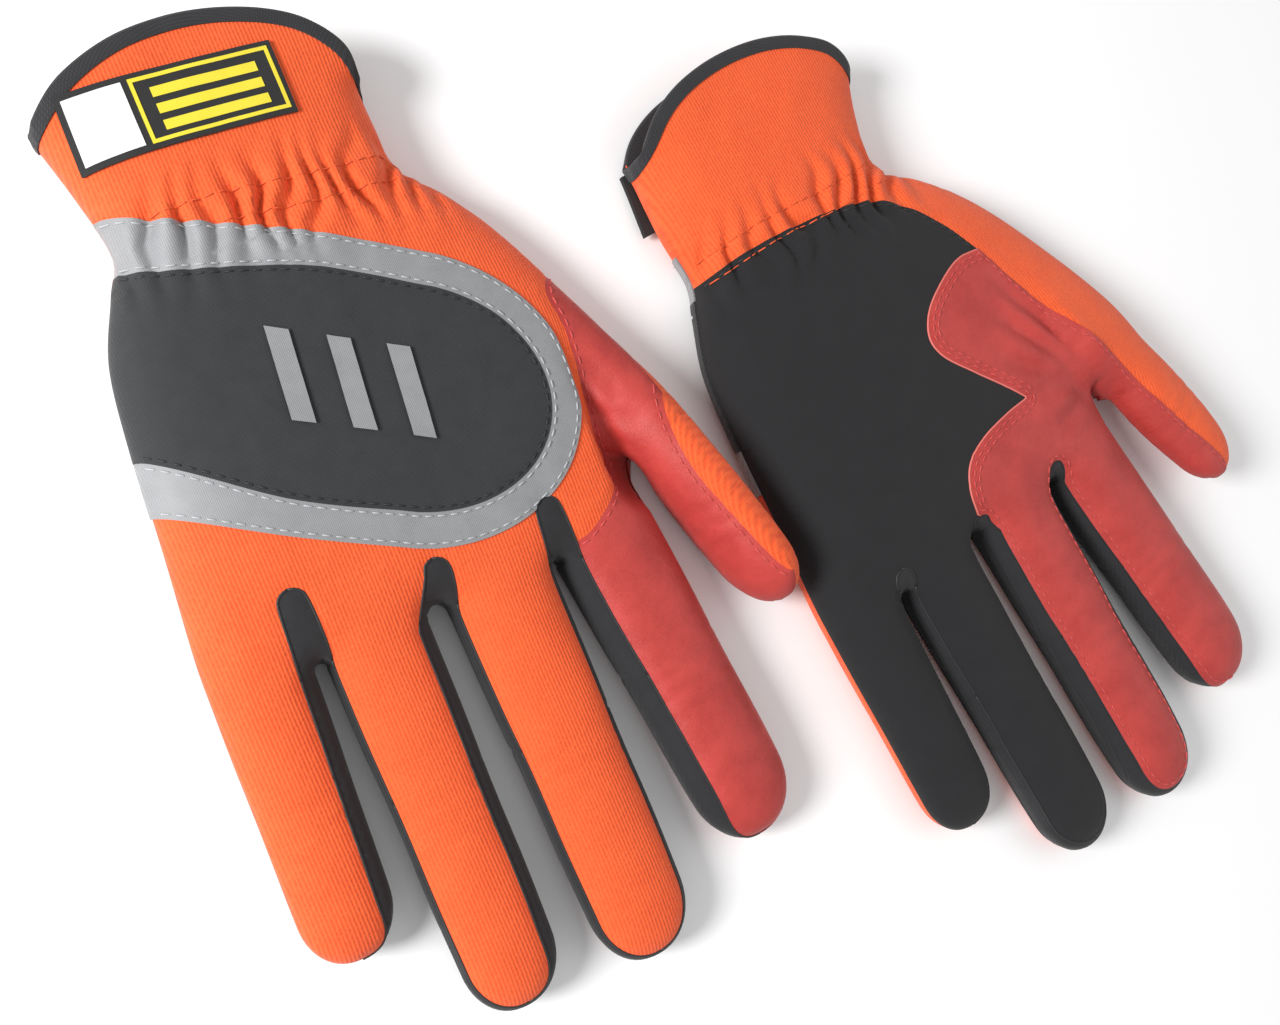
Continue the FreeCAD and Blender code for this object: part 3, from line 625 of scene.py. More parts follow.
class Surfaces:
    """Both surfaces of one glove, with shared plan points and outward normals."""

    def __init__(self, glove):
        self.glove = glove
        self.seams = {face: panel_seams(glove, face) for face in ("back", "palm")}
        cuts = [line for face in ("back", "palm") for line in self.seams[face]]
        self.flat, self.triangles = triangulate(glove, cuts + [OVAL_LINE, BAND_LINE] + body_lines(glove))
        relative = inflate(glove, self.flat, self.triangles)
        weight = thumb_weight(glove, self.flat)
        self.points = {}
        for face in ("back", "palm"):
            shaped = surface(glove, self.flat, relative, face, self.seams[face])
            turned = turn_thumb(glove, shaped, weight)
            turned[:, 2] = np.maximum(turned[:, 2], TABLE_GAP)
            self.points[face] = turned
        self.normals = self.shared_normals()
        gap = np.linalg.norm(self.points["back"] - self.points["palm"], axis=1)
        self.thickness = np.clip(gap * 0.45, 0.12, CLOTH)
        self.tree = BVHTree.FromPolygons([(u, v, 0) for u, v in self.flat], self.triangles.tolist())

    def shared_normals(self):
        """Normals of the closed glove, so that panels that meet at the silhouette agree."""
        count = len(self.flat)
        upper, lower = self.glove.upper, self.glove.lower
        rim = np.unique(rim_edges(self.triangles))
        hem = distance_to(self.glove.hem(), self.flat[rim]) < 0.05
        joined = np.arange(count) + count
        joined[rim[~hem]] = rim[~hem]
        # The plan's triangles run anticlockwise in u, v, which is clockwise seen from above.
        both = np.vstack([self.triangles[:, ::-1], joined[self.triangles]])
        row = self.glove.to_row(np.vstack([self.points[upper], self.points[lower]]))
        normals = vertex_normals(row, both)
        normals[count:][rim[~hem]] = normals[rim[~hem]]
        return {upper: normals[:count], lower: normals[count:]}

    def sample(self, face, plan, lift=0.0):
        """Row-frame points and normals on a surface over plan points."""
        row = self.glove.to_row(self.points[face])
        found, normals = [], []
        for u, v in plan:
            _, _, index, _ = self.tree.find_nearest(Vector((u, v, 0)))
            corners = self.triangles[index]
            weights = barycentric(self.flat[corners], np.array([u, v]))
            normal = weights @ self.normals[face][corners]
            normal /= max(np.linalg.norm(normal), 1e-9)
            found.append(weights @ row[corners] + normal * lift * MM)
            normals.append(normal)
        return np.array(found), np.array(normals)

    def thickness_at(self, plan):
        """The cloth's thickness at the nearest mesh point to each plan point."""
        return np.array([self.thickness[np.argmin(np.linalg.norm(self.flat - at, axis=1))] for at in plan])


def barycentric(corners, point):
    """Weights of a triangle's corners at a point; outside it they carry the plane on."""
    a, b, c = corners
    matrix = np.array([b - a, c - a]).T
    second, third = np.linalg.solve(matrix, point - a)
    return np.array([1 - second - third, second, third])


# ---------------------------------------------------------------- panels and bodies
def panel_seams(glove, face):
    """Every seam line on one face of the glove."""
    walls = [side for pair in glove.wall_edges(face).values() for side in pair]
    if face == "back":
        return walls + [glove.back_edge(), glove.strip_back_edge()]
    return walls + [glove.palm_edge(), glove.strip_edge(), glove.overlay_edge()]


def body_lines(glove):
    """Where pieces on different bodies part: at the wrist, the finger roots and the middle joints."""
    lines = [resample([(-60, CUFF_LINE), (60, CUFF_LINE)], EDGE_STEP * 1.5)]
    for name in DIGITS:
        digit = glove.digits[name]
        wide = digit.half + 0.9
        root = -9.7 if name == "thumb" else -wide
        for left, s in ((root, KNUCKLE_LINE), (-wide, digit.end_line)):
            lines.append(resample([digit.at(left, s), digit.at(wide, s)], EDGE_STEP))
    return lines


def region_of(glove, centres):
    """The body region of each plan triangle: wrist, hand, or a digit's lower or end part."""
    region = np.full(len(centres), "hand", dtype=object)
    region[centres[:, 1] < CUFF_LINE] = "wrist"
    for name in DIGITS:
        digit = glove.digits[name]
        x, s = digit.local(centres)
        own = (s > KNUCKLE_LINE) & (np.abs(x) < digit.half + 0.95)
        if name == "thumb":
            own &= centres[:, 0] > THUMB_FROM_U
        elif name == "index":
            own &= centres[:, 0] < INDEX_TO_U
        region[own] = f"{name}_lower"
        region[own & (s > digit.end_line)] = f"{name}_end"
    return region


def panel_of(glove, face, centres):
    """The panel that each plan triangle belongs to on one face."""
    panel = np.full(len(centres), "knit" if face == "back" else "suede", dtype=object)
    if face == "back":
        edge = glove.back_edge()
        fork = glove.wall_edges(face)["index"][1]
        start = np.argmin(np.linalg.norm(fork - edge[-1], axis=1))
        beyond = np.array([glove.digits["index"].at(0, 100), (130, 230), (130, 20), (70, 20)])
        leather = np.vstack([edge, fork[start + 1:], beyond])
        panel[inside(leather, centres)] = "leather"
        thumb = glove.digits["thumb"]
        strip = np.vstack([glove.strip_back_edge(), [thumb.at(22, 56), thumb.at(22, -26)]])
        panel[inside(strip, centres)] = "knit"
    else:
        thumb, index = glove.digits["thumb"], glove.digits["index"]
        fork = glove.wall_edges(face)["middle"][1]
        beyond = np.array([glove.digits["middle"].at(0, 110), index.at(0, 100), index.at(22, 90),
                           thumb.at(-16, 60), thumb.at(14, 58)])
        leather = np.vstack([glove.overlay_edge(), fork[1:], beyond, glove.strip_edge()[::-1][:-1]])
        panel[inside(leather, centres)] = "leather"
        around = [(150, 160), (150, -80), (-90, -80), (-90, 2)]
        cuff = np.vstack([glove.palm_edge(), glove.strip_edge()[1:], around])
        panel[inside(cuff, centres)] = "knit"
    for name, polygon in glove.wall_polygons(face).items():
        panel[inside(polygon, centres)] = f"wall_{name}"
    return panel


def bodies_of(glove, region):
    """The two bodies that a region's cloth bends between, and where; the hand's cloth has only one."""
    side = glove.side
    if region == "hand":
        return f"{side}_hand", None, None, None
    if region == "wrist":
        start, end = (0.0, WRIST_FOLD), (0.0, -WRIST_FOLD)
        return f"{side}_hand", f"{side}_wrist", start, end
    name, part = region.split("_")
    digit = glove.digits[name]
    if part == "lower":
        start, end = (digit.at(0, s) for s in KNUCKLE_FOLD)
        return f"{side}_hand", f"{side}_{name}_lower", start, end
    start, end = (digit.at(0, digit.joint + reach) for reach in (-JOINT_FOLD, JOINT_FOLD))
    return f"{side}_{name}_lower", f"{side}_{name}_end", start, end


def attach(glove, piece, region):
    """Hangs a piece on its region's body when the region has only one; a piece between two bodies only gets
    its transform baked.
    """
    first, second, start, end = bodies_of(glove, region)
    if second is None:
        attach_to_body(piece, first)
        return
    ends = glove.to_row([(*start, MID_HEIGHT), (*end, MID_HEIGHT)])
    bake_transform(piece)


# ---------------------------------------------------------------- mesh objects
def make_object(name, points, faces, material, uv=None, smooth=True):
    """A mesh object from row-frame points, with plan coordinates as its texture map."""
    mesh = bpy.data.meshes.new(name)
    mesh.from_pydata([tuple(p) for p in points], [], [list(map(int, f)) for f in faces])
    if uv is not None:
        layer = mesh.uv_layers.new(name="plan")
        corner = np.empty(len(mesh.loops), int)
        mesh.loops.foreach_get("vertex_index", corner)
        layer.data.foreach_set("uv", np.asarray(uv, float)[corner].astype(np.float32).ravel())
    mesh.polygons.foreach_set("use_smooth", [smooth] * len(mesh.polygons))
    mesh.materials.append(material)
    piece = bpy.data.objects.new(name, mesh)
    bpy.context.collection.objects.link(piece)
    return piece


def cloth_piece(surfaces, face, chosen, name, material, lift=0.0, thick=None):
    """A closed sheet of cloth cut from one surface: outer side, lining side and the cut edge.

    The outer side keeps the whole glove's normals, so that cuts between bodies don't show.
    """
    glove = surfaces.glove
    used, local = np.unique(surfaces.triangles[chosen], return_inverse=True)
    local = local.reshape(-1, 3)
    if face == glove.upper:
        local = local[:, ::-1]
    normals = surfaces.normals[face][used]
    depth = (surfaces.thickness[used] if thick is None else np.full(len(used), thick))[:, None]
    outer = glove.to_row(surfaces.points[face][used]) + normals * lift * MM
    inner = outer - normals * depth * MM
    count = len(used)
    rim = rim_edges(local)
    walls = np.column_stack([rim[:, 1], rim[:, 0], rim[:, 0] + count, rim[:, 1] + count])
    points = np.vstack([outer, inner])
    faces = list(local) + list(local[:, ::-1] + count) + list(walls)
    plan = surfaces.flat[used] / 10.0
    piece = make_object(name, points, faces, material, np.vstack([plan, plan]))
    across = np.cross(points[walls[:, 1]] - points[walls[:, 0]], points[walls[:, 3]] - points[walls[:, 0]])
    across /= np.maximum(np.linalg.norm(across, axis=1), 1e-12)[:, None]
    corner_normals = np.vstack([normals[local.ravel()], -normals[local[:, ::-1].ravel()],
                                np.repeat(across, 4, axis=0)])
    piece.data.normals_split_custom_set(corner_normals.tolist())
    return piece


# ---------------------------------------------------------------- materials
class Recipe:
    """A small builder for one node material."""

    def __init__(self, name, roughness, sheen=0.0):
        self.material = bpy.data.materials.new(name)
        self.material.use_nodes = True
        self.tree = self.material.node_tree
        self.shader = self.tree.nodes["Principled BSDF"]
        self.shader.inputs["Roughness"].default_value = roughness
        self.shader.inputs["Sheen Weight"].default_value = sheen
        self.shader.inputs["Sheen Roughness"].default_value = 0.5
        self.plan = self.node("ShaderNodeUVMap", uv_map="plan").outputs["UV"]

    def node(self, kind, **values):
        made = self.tree.nodes.new(kind)
        for key, value in values.items():
            setattr(made, key, value)
        return made

    def link(self, output, node, socket):
        self.tree.links.new(output, node.inputs[socket])

    def stretched(self, scale_u, scale_v):
        """The plan coordinates, in centimetres, scaled."""
        mapping = self.node("ShaderNodeMapping")
        mapping.inputs["Scale"].default_value = (scale_u, scale_v, 1)
        self.link(self.plan, mapping, "Vector")
        return mapping.outputs["Vector"]

    def bands(self, direction, per_centimetre, distortion=0.0):
        """Parallel ribs or threads over the plan."""
        made = self.node("ShaderNodeTexWave", wave_type="BANDS", bands_direction=direction)
        made.inputs["Scale"].default_value = 1.0
        made.inputs["Distortion"].default_value = distortion
        made.inputs["Detail"].default_value = 1.0
        self.link(self.stretched(per_centimetre, per_centimetre), made, "Vector")
        return made.outputs["Fac"]

    def noise(self, scale, detail=4.0, rough=0.6):
        made = self.node("ShaderNodeTexNoise")
        made.inputs["Scale"].default_value = scale
        made.inputs["Detail"].default_value = detail
        made.inputs["Roughness"].default_value = rough
        self.link(self.plan, made, "Vector")
        return made.outputs["Fac"]

    def ramp(self, value, low, high):
        """Spreads a value between two levels."""
        made = self.node("ShaderNodeMapRange")
        made.inputs["From Min"].default_value = low
        made.inputs["From Max"].default_value = high
        self.link(value, made, "Value")
        return made.outputs["Result"]

    def math(self, operation, first, second):
        made = self.node("ShaderNodeMath", operation=operation)
        for socket, value in ((0, first), (1, second)):
            if isinstance(value, (int, float)):
                made.inputs[socket].default_value = value
            else:
                self.link(value, made, socket)
        return made.outputs["Value"]

    def mix(self, factor, first, second):
        """A colour between two; each is a tuple or a socket, and the factor is a number or a socket."""
        made = self.node("ShaderNodeMix", data_type="RGBA")
        if isinstance(factor, float):
            made.inputs["Factor"].default_value = factor
        else:
            self.link(factor, made, "Factor")
        for socket, value in ((6, first), (7, second)):
            if isinstance(value, tuple):
                made.inputs[socket].default_value = (*value, 1)
            else:
                self.link(value, made, socket)
        return made.outputs[2]

    def bump(self, height, strength, distance):
        made = self.node("ShaderNodeBump")
        made.inputs["Strength"].default_value = strength
        made.inputs["Distance"].default_value = distance
        self.link(height, made, "Height")
        if self.shader.inputs["Normal"].is_linked:
            self.tree.links.new(self.shader.inputs["Normal"].links[0].from_socket, made.inputs["Normal"])
        self.link(made.outputs["Normal"], self.shader, "Normal")

    def colour(self, socket):
        self.link(socket, self.shader, "Base Color")
        return self.material


def knit_material():
    """Orange stretch knit: fine ribs along the glove crossed by loops, slightly mottled."""
    recipe = Recipe("orange_knit", 0.85, sheen=0.12)
    ribs = recipe.bands("X", 3.4, distortion=0.15)
    loops = recipe.node("ShaderNodeTexVoronoi")
    loops.inputs["Scale"].default_value = 1.0
    recipe.link(recipe.stretched(11.0, 15.0), loops, "Vector")
    weave = recipe.math("ADD", ribs, loops.outputs["Distance"])
    mottle = recipe.ramp(recipe.noise(1.1), 0.3, 0.7)
    base = recipe.mix(mottle, (0.75, 0.078, 0.011), (0.81, 0.1, 0.017))
    shade = recipe.mix(recipe.ramp(weave, 0.35, 1.25), (0.62, 0.05, 0.006), (0.86, 0.12, 0.022))
    recipe.bump(weave, 0.35, 0.0004)
    return recipe.colour(recipe.mix(0.45, base, shade))


def suede_material(name, dark, light):
    """Synthetic suede: soft blotches and a short fine nap."""
    recipe = Recipe(name, 0.93, sheen=0.06)
    blotch = recipe.ramp(recipe.noise(1.1, 3.0, 0.5), -0.6, 1.2)
    nap = recipe.noise(26.0, 3.0, 0.7)
    recipe.bump(nap, 0.4, 0.0003)
    return recipe.colour(recipe.mix(recipe.math("MULTIPLY", blotch, nap), dark, light))


def leather_material():
    """Red synthetic leather: pebble grain, paler where it is stretched and rubbed."""
    recipe = Recipe("red_leather", 0.58, sheen=0.03)
    pebbles = recipe.node("ShaderNodeTexVoronoi", feature="DISTANCE_TO_EDGE")
    pebbles.inputs["Scale"].default_value = 13.0
    recipe.link(recipe.plan, pebbles, "Vector")
    grain = recipe.ramp(pebbles.outputs["Distance"], 0.0, 0.12)
    rubbed = recipe.ramp(recipe.noise(0.75, 5.0, 0.6), 0.35, 0.72)
    base = recipe.mix(rubbed, (0.36, 0.022, 0.018), (0.5, 0.046, 0.038))
    recipe.bump(grain, 0.22, 0.00025)
    recipe.bump(recipe.noise(3.0, 3.0, 0.5), 0.25, 0.0008)
    return recipe.colour(recipe.mix(recipe.math("MULTIPLY", grain, 0.25), base, (0.52, 0.055, 0.044)))


def woven_material(name, dark, light, threads, roughness=0.85):
    """Plain weave: two crossing sets of threads."""
    recipe = Recipe(name, roughness, sheen=0.1)
    weave = recipe.math("MULTIPLY", recipe.bands("X", threads), recipe.bands("Y", threads))
    blotch = recipe.ramp(recipe.noise(2.0), -0.5, 1.1)
    recipe.bump(weave, 0.3, 0.0003)
    shade = recipe.math("MULTIPLY", recipe.math("ADD", weave, 0.5), blotch)
    return recipe.colour(recipe.mix(shade, dark, light))


def thread_material(name, colour):
    """Twisted sewing thread."""
    recipe = Recipe(name, 0.6)
    twist = recipe.noise(40.0, 2.0, 0.5)
    pale = tuple(min(1.0, c * 1.5 + 0.01) for c in colour)
    return recipe.colour(recipe.mix(twist, colour, pale))


MATERIALS = {
    "knit": knit_material(),
    "suede": suede_material("black_suede", (0.004, 0.004, 0.005), (0.02, 0.0205, 0.023)),
    "leather": leather_material(),
    "wall": woven_material("black_stretch", (0.004, 0.004, 0.005), (0.02, 0.02, 0.023), 9.0),
    "oval": woven_material("charcoal_cloth", (0.009, 0.0095, 0.01), (0.033, 0.035, 0.038), 6.0),
    "band": woven_material("grey_reflective", (0.165, 0.168, 0.175), (0.32, 0.323, 0.333), 7.0, 0.5),
    "binding": woven_material("black_binding", (0.006, 0.006, 0.007), (0.03, 0.03, 0.034), 5.0),
    "label": woven_material("label_cloth", (0.006, 0.006, 0.006), (0.02, 0.02, 0.02), 8.0),
    "label_white": woven_material("label_white", (0.6, 0.6, 0.58), (0.82, 0.82, 0.8), 8.0),
    "label_yellow": woven_material("label_yellow", (0.62, 0.5, 0.02), (0.85, 0.72, 0.05), 8.0),
    "elastic": woven_material("elastic", (0.5, 0.5, 0.48), (0.75, 0.75, 0.72), 4.0),
    "red_thread": thread_material("red_thread", (0.42, 0.05, 0.045)),
    "orange_thread": thread_material("orange_thread", (0.55, 0.075, 0.015)),
    "black_thread": thread_material("black_thread", (0.01, 0.01, 0.011)),
    "grey_thread": thread_material("grey_thread", (0.3, 0.31, 0.32)),
    # the thin cord on the leather overlay's edge, coloured paler than the leather: a painted highlight
    # where the raised edge catches the light
    "pale_edge_thread": thread_material("pale_edge_thread", (0.55, 0.12, 0.1)),
}


# ---------------------------------------------------------------- panels of one glove
def sew_panels(surfaces):
    """Cuts every panel, on both faces, into one piece per region; pieces of the hand are hung on its body,
    the others only get their transforms baked.
    """
    glove = surfaces.glove
    centres = surfaces.flat[surfaces.triangles].mean(axis=1)
    region = region_of(glove, centres)
    made = {}
    for face in ("back", "palm"):
        panel = panel_of(glove, face, centres)
        for key in sorted(set(zip(region, panel))):
            chosen = (region == key[0]) & (panel == key[1])
            if chosen.sum() < 3:
                continue
            kind = key[1].split("_")[0]
            lift = OVERLAY_LIFT if kind == "leather" and face == "palm" else 0.0
            name = f"{glove.side}_{key[0]}_{face}_{key[1]}_cloth"
            piece = cloth_piece(surfaces, face, chosen, name, MATERIALS[kind], lift)
            attach(glove, piece, key[0])
            made[(key[0], face, key[1])] = piece
    return made


def sew_patches(surfaces):
    """The oval and its band, raised on the back of the hand; gives the hand's piece of each."""
    glove = surfaces.glove
    centres = surfaces.flat[surfaces.triangles].mean(axis=1)
    region = region_of(glove, centres)
    knit = panel_of(glove, "back", centres) == "knit"
    in_oval = inside(OVAL_LINE, centres)
    in_band = inside(BAND_LINE, centres) & ~in_oval
    made = {}
    for kind, chosen, lift in (("oval", in_oval, OVAL_LIFT), ("band", in_band, BAND_LIFT)):
        for part in ("hand", "wrist"):
            name = f"{glove.side}_{part}_{kind}_cloth"
            cut = chosen & knit & (region == part)
            piece = cloth_piece(surfaces, "back", cut, name, MATERIALS[kind], lift, PATCH_CLOTH)
            attach(glove, piece, part)
            made.setdefault(kind, piece)
    return made


# ---------------------------------------------------------------- threads, tapes and the label
def unit(vectors):
    return vectors / np.maximum(np.linalg.norm(vectors, axis=-1, keepdims=True), 1e-12)


def shifted(line, distance):
    """A plan line moved sideways, to the left of its run."""
    way = unit(np.gradient(line, axis=0))
    return line + np.column_stack([-way[:, 1], way[:, 0]]) * distance


def sweep_faces(rings, corners, closed=False):
    """Quads of a tube with rings of corners; an open one gets two end caps."""
    faces = []
    for ring in range(rings if closed else rings - 1):
        after = (ring + 1) % rings
        for k in range(corners):
            beside = (k + 1) % corners
            faces.append((ring * corners + k, ring * corners + beside,
                          after * corners + beside, after * corners + k))
    if not closed:
        faces.append(tuple(range(corners))[::-1])
        faces.append(tuple((rings - 1) * corners + k for k in range(corners)))
    return faces


THREAD_SIDES = 6
THREAD_TURN = np.linspace(0, 2 * math.pi, THREAD_SIDES, endpoint=False)


class Trims:
    """The small sewn parts of one glove, gathered into one mesh per region and material."""

    def __init__(self, surfaces):
        self.surfaces = surfaces
        self.glove = surfaces.glove
        self.parts = {}

    def add(self, region, kind, points, faces, plan):
        self.parts.setdefault((region, kind), []).append((points, faces, plan))

    def beside(self, face, line, distance, panel):
        """The part of a line's two shifted copies that lies on a panel."""
        found = []
        for way in (1, -1):
            moved = shifted(line, way * distance)
            on_panel = panel_of(self.glove, face, moved) == panel
            on_panel &= inside(self.glove.outline, moved)
            found.append(moved[on_panel])
        return max(found, key=len)

    def pinky_limit(self, v):
        """How far towards the pinky side a slab lies on the cuff at each v; past it, it stands out."""
        edge = self.glove.outline[:40]
        return np.interp(v, edge[:, 1], edge[:, 0]) + 1.5

    def stitches(self, face, line, kind, lift=0.0, radius=0.23, length=STITCH):
        """A row of single stitches, each a short bent thread that dips into the cloth."""
        line = resample(line, length + STITCH_GAP)
        steps = np.linalg.norm(np.diff(line, axis=0), axis=1)
        starts, ways = line[:-1][steps < 4 * length], unit(np.diff(line, axis=0))[steps < 4 * length]
        regions = region_of(self.glove, starts + ways * length / 2)
        shape = ((0.0, -0.25, 0.35), (0.16, 0.0, 1.0), (0.84, 0.0, 1.0), (1.0, -0.25, 0.35))
        rings, normals = [], []
        for share, sink, _ in shape:
            height = lift + radius * 0.5 + sink
            at, normal = self.surfaces.sample(face, starts + ways * length * share, height)
            rings.append(at)
            normals.append(normal)
        along = unit(rings[-1] - rings[0])
        faces = sweep_faces(len(shape), THREAD_SIDES)
        for i, region in enumerate(regions):
            side = np.cross(along[i], normals[1][i])
            ring = [rings[r][i] + (np.cos(a) * side + np.sin(a) * normals[r][i]) * radius * shape[r][2] * MM
                    for r in range(len(shape)) for a in THREAD_TURN]
            plan = np.repeat(starts[i:i + 1] / 10, len(ring), axis=0)
            self.add(region, kind, np.array(ring), faces, plan)

    def cord(self, face, line, kind, radius=0.34, lift=0.0):
        """A thin piping along a seam, cut where the bodies part."""
        line = resample(line, EDGE_STEP)
        regions = region_of(self.glove, line)
        at, normals = self.surfaces.sample(face, line, lift)
        along = unit(np.gradient(at, axis=0))
        side = unit(np.cross(along, normals))
        first = 0
        for i in range(1, len(line) + 1):
            if i < len(line) and regions[i] == regions[first]:
                continue
            last = min(i + 1, len(line))
            if last - first > 2:
                rings = [at[k] + (np.cos(a) * side[k] + np.sin(a) * normals[k]) * radius * MM
                         for k in range(first, last) for a in THREAD_TURN]
                plan = np.repeat(line[first:last] / 10, THREAD_SIDES, axis=0)
                faces = sweep_faces(last - first, THREAD_SIDES)
                self.add(regions[first], kind, np.array(rings), faces, plan)
            first = i

    def pipe_walls(self, face, walls):
        """Piping along both seams of every finger wall."""
        for sides in walls.values():
            for line in sides:
                self.cord(face, line[inside(self.glove.outline, line)], "black_thread")

    def slab(self, face, corners, kind, lift, thick, region="wrist", step=1.6):
        """A thin cloth rectangle laid on the surface between four plan corners."""
        a, b, c, d = (np.array(corner, float) for corner in corners)
        columns = max(1, int(np.linalg.norm(b - a) / step)) + 1
        rows = max(1, int(np.linalg.norm(d - a) / step)) + 1
        x, y = np.meshgrid(np.linspace(0, 1, columns), np.linspace(0, 1, rows))
        x, y = x.ravel()[:, None], y.ravel()[:, None]
        plan = (a * (1 - x) + b * x) * (1 - y) + (d * (1 - x) + c * x) * y
        held = plan.copy()
        held[:, 0] = np.maximum(plan[:, 0], self.pinky_limit(plan[:, 1]))
        top, normals = self.surfaces.sample(face, held, lift + thick)
        top[:, :2] += (plan - held)[:, :1] * self.glove.across * MM
        bottom = top - normals * thick * MM
        cell = np.arange(rows * columns).reshape(rows, columns)
        quads = np.column_stack([cell[:-1, :-1].ravel(), cell[:-1, 1:].ravel(),
                                 cell[1:, 1:].ravel(), cell[1:, :-1].ravel()])
        loop = np.concatenate([cell[0], cell[1:, -1], cell[-1, -2::-1], cell[-2:0:-1, 0]])
        if face == self.glove.upper:
            quads, loop = quads[:, ::-1], loop[::-1]
        after, count = np.roll(loop, -1), rows * columns
        walls = np.column_stack([after, loop, loop + count, after + count])
        faces = list(quads) + list(quads[:, ::-1] + count) + list(walls)
        self.add(region, kind, np.vstack([top, bottom]), faces, np.vstack([plan, plan]) / 10)

    def build(self):
        """One object per region and material."""
        made = {}
        for (region, kind), parts in self.parts.items():
            points, faces, plans, first = [], [], [], 0
            for part_points, part_faces, plan in parts:
                points.append(part_points)
                plans.append(plan)
                faces += [[int(k) + first for k in face] for face in part_faces]
                first += len(part_points)
            name = f"{self.glove.side}_{region}_{kind}_trim"
            piece = make_object(name, np.vstack(points), faces, MATERIALS[kind], np.vstack(plans),
                                smooth=kind.endswith("thread"))
            attach(self.glove, piece, region)
            made[(region, kind)] = piece
        return made


def sew_back_threads(trims):
    """Stitching on the back: round the patches, beside the leather and along the finger walls."""
    glove = trims.glove
    rows = ((OVAL_LINE, 1.1, "black_thread", OVAL_LIFT), (BAND_LINE, 1.1, "grey_thread", BAND_LIFT),
            (OVAL_LINE, -1.0, "grey_thread", BAND_LIFT))
    for outline, distance, kind, lift in rows:
        line = shifted(outline, distance)
        on_knit = (panel_of(glove, "back", line) == "knit") & inside(glove.outline, line)
        on_knit &= np.isin(region_of(glove, line), ("hand", "wrist"))
        trims.stitches("back", line[on_knit], kind, lift)
    trims.stitches("back", trims.beside("back", glove.back_edge(), 1.3, "leather"), "red_thread")
    trims.stitches("back", trims.beside("back", glove.strip_back_edge(), 1.1, "leather"), "red_thread")
    trims.pipe_walls("back", glove.wall_edges("back"))


def sew_palm_threads(trims):
    """Stitching on the palm: two rows inside the leather's edge, one beside every other seam."""
    glove = trims.glove
    edge = glove.overlay_edge()
    walls = glove.wall_edges("palm")
    for distance in (1.5, 3.1):
        trims.stitches("palm", trims.beside("palm", edge, distance, "leather"), "red_thread", OVERLAY_LIFT)
    # A thin cord on the leather's edge, paler than the leather: painted highlight on the raised edge.
    trims.cord("palm", edge, "pale_edge_thread", 0.3, 0.25)
    strip = trims.beside("palm", glove.strip_edge(), 1.3, "leather")
    trims.stitches("palm", strip, "red_thread", OVERLAY_LIFT)
    trims.stitches("palm", trims.beside("palm", glove.palm_edge(), 1.2, "suede"), "black_thread")
    trims.pipe_walls("palm", walls)
    for line in (walls["middle"][1], *walls["index"]):
        trims.stitches("palm", trims.beside("palm", line, 1.4, "leather"), "red_thread", OVERLAY_LIFT)


def sew_wrist_threads(trims):
    """Two rows of stitches hold the elastic, on both faces; the band covers some of them."""
    for face in ("back", "palm"):
        for v in (-3.2, 3.4):
            bow = smooth_curve([(-33.5, v), (-12, v - 0.8), (12, v + 0.6), (33.5, v)])
            if face == "back":
                bow = bow[~inside(BAND_LINE, bow)]
            trims.stitches(face, bow, "orange_thread", 0.2, THIN_THREAD)


def sew_label(trims):
    """The label on the cuff's back: a black ground, a white field and a yellow frame with plain bars."""
    side = trims.glove.side
    (u, v), (half_u, half_v) = LABEL_MIDDLE[side], LABEL_HALF
    left, right, low, high = u - half_u, u + half_u, v - half_v, v + half_v
    ground, print_cloth, line = 0.8, 0.15, 0.9

    def print_box(kind, box_left, box_right, box_low, box_high):
        """A thin field on top of the label's ground."""
        corners = (box_left, box_low), (box_right, box_low), (box_right, box_high), (box_left, box_high)
        trims.slab("back", corners, kind, 0.05 + ground, print_cloth)

    pulled_left = left - LABEL_CORNER[side]
    corners = (left, low), (right, low), (right, high), (pulled_left, high)
    trims.slab("back", corners, "label", 0.05, ground)
    print_box("label_white", left + 1.4, left + 14.5, low + 1.4, high - 1.4)
    left, right, low, high = left + 16, right - 1.2, low + 1.2, high - 1.2
    print_box("label_yellow", left, right, low, low + line)
    print_box("label_yellow", left, right, high - line, high)
    print_box("label_yellow", left, left + line, low + line, high - line)
    print_box("label_yellow", right - line, right, low + line, high - line)
    for step in range(3):
        bar_low = low + 2.9 + 3.9 * step
        print_box("label_yellow", left + 4, right - 4, bar_low, bar_low + 2.3)


def sew_bars(trims):
    """Three plain slanted bars on the knuckle patch."""
    way, side = patch_axes()
    middle, pitch, width, height, slant = np.array([-2.0, 46.0]), 14.0, 5.5, 21.0, 8.0
    for step in (-1, 0, 1):
        foot = middle + way * (pitch * step - slant / 2) - side * height / 2
        head = foot + side * height + way * slant
        corners = (foot, foot + way * width, head + way * width, head)
        trims.slab("back", corners, "band", OVAL_LIFT + PATCH_CLOTH, 0.15, "hand")


def sew_elastic(trims):
    """The elastic inside the wrist, against the lining of both faces."""
    reach, half_width, thick = 29.0, 3.4, 0.8
    corners = (-reach, -half_width), (reach, -half_width), (reach, half_width), (-reach, half_width)
    for face in ("back", "palm"):
        trims.slab(face, corners, "elastic", -CLOTH - 1.5, thick)


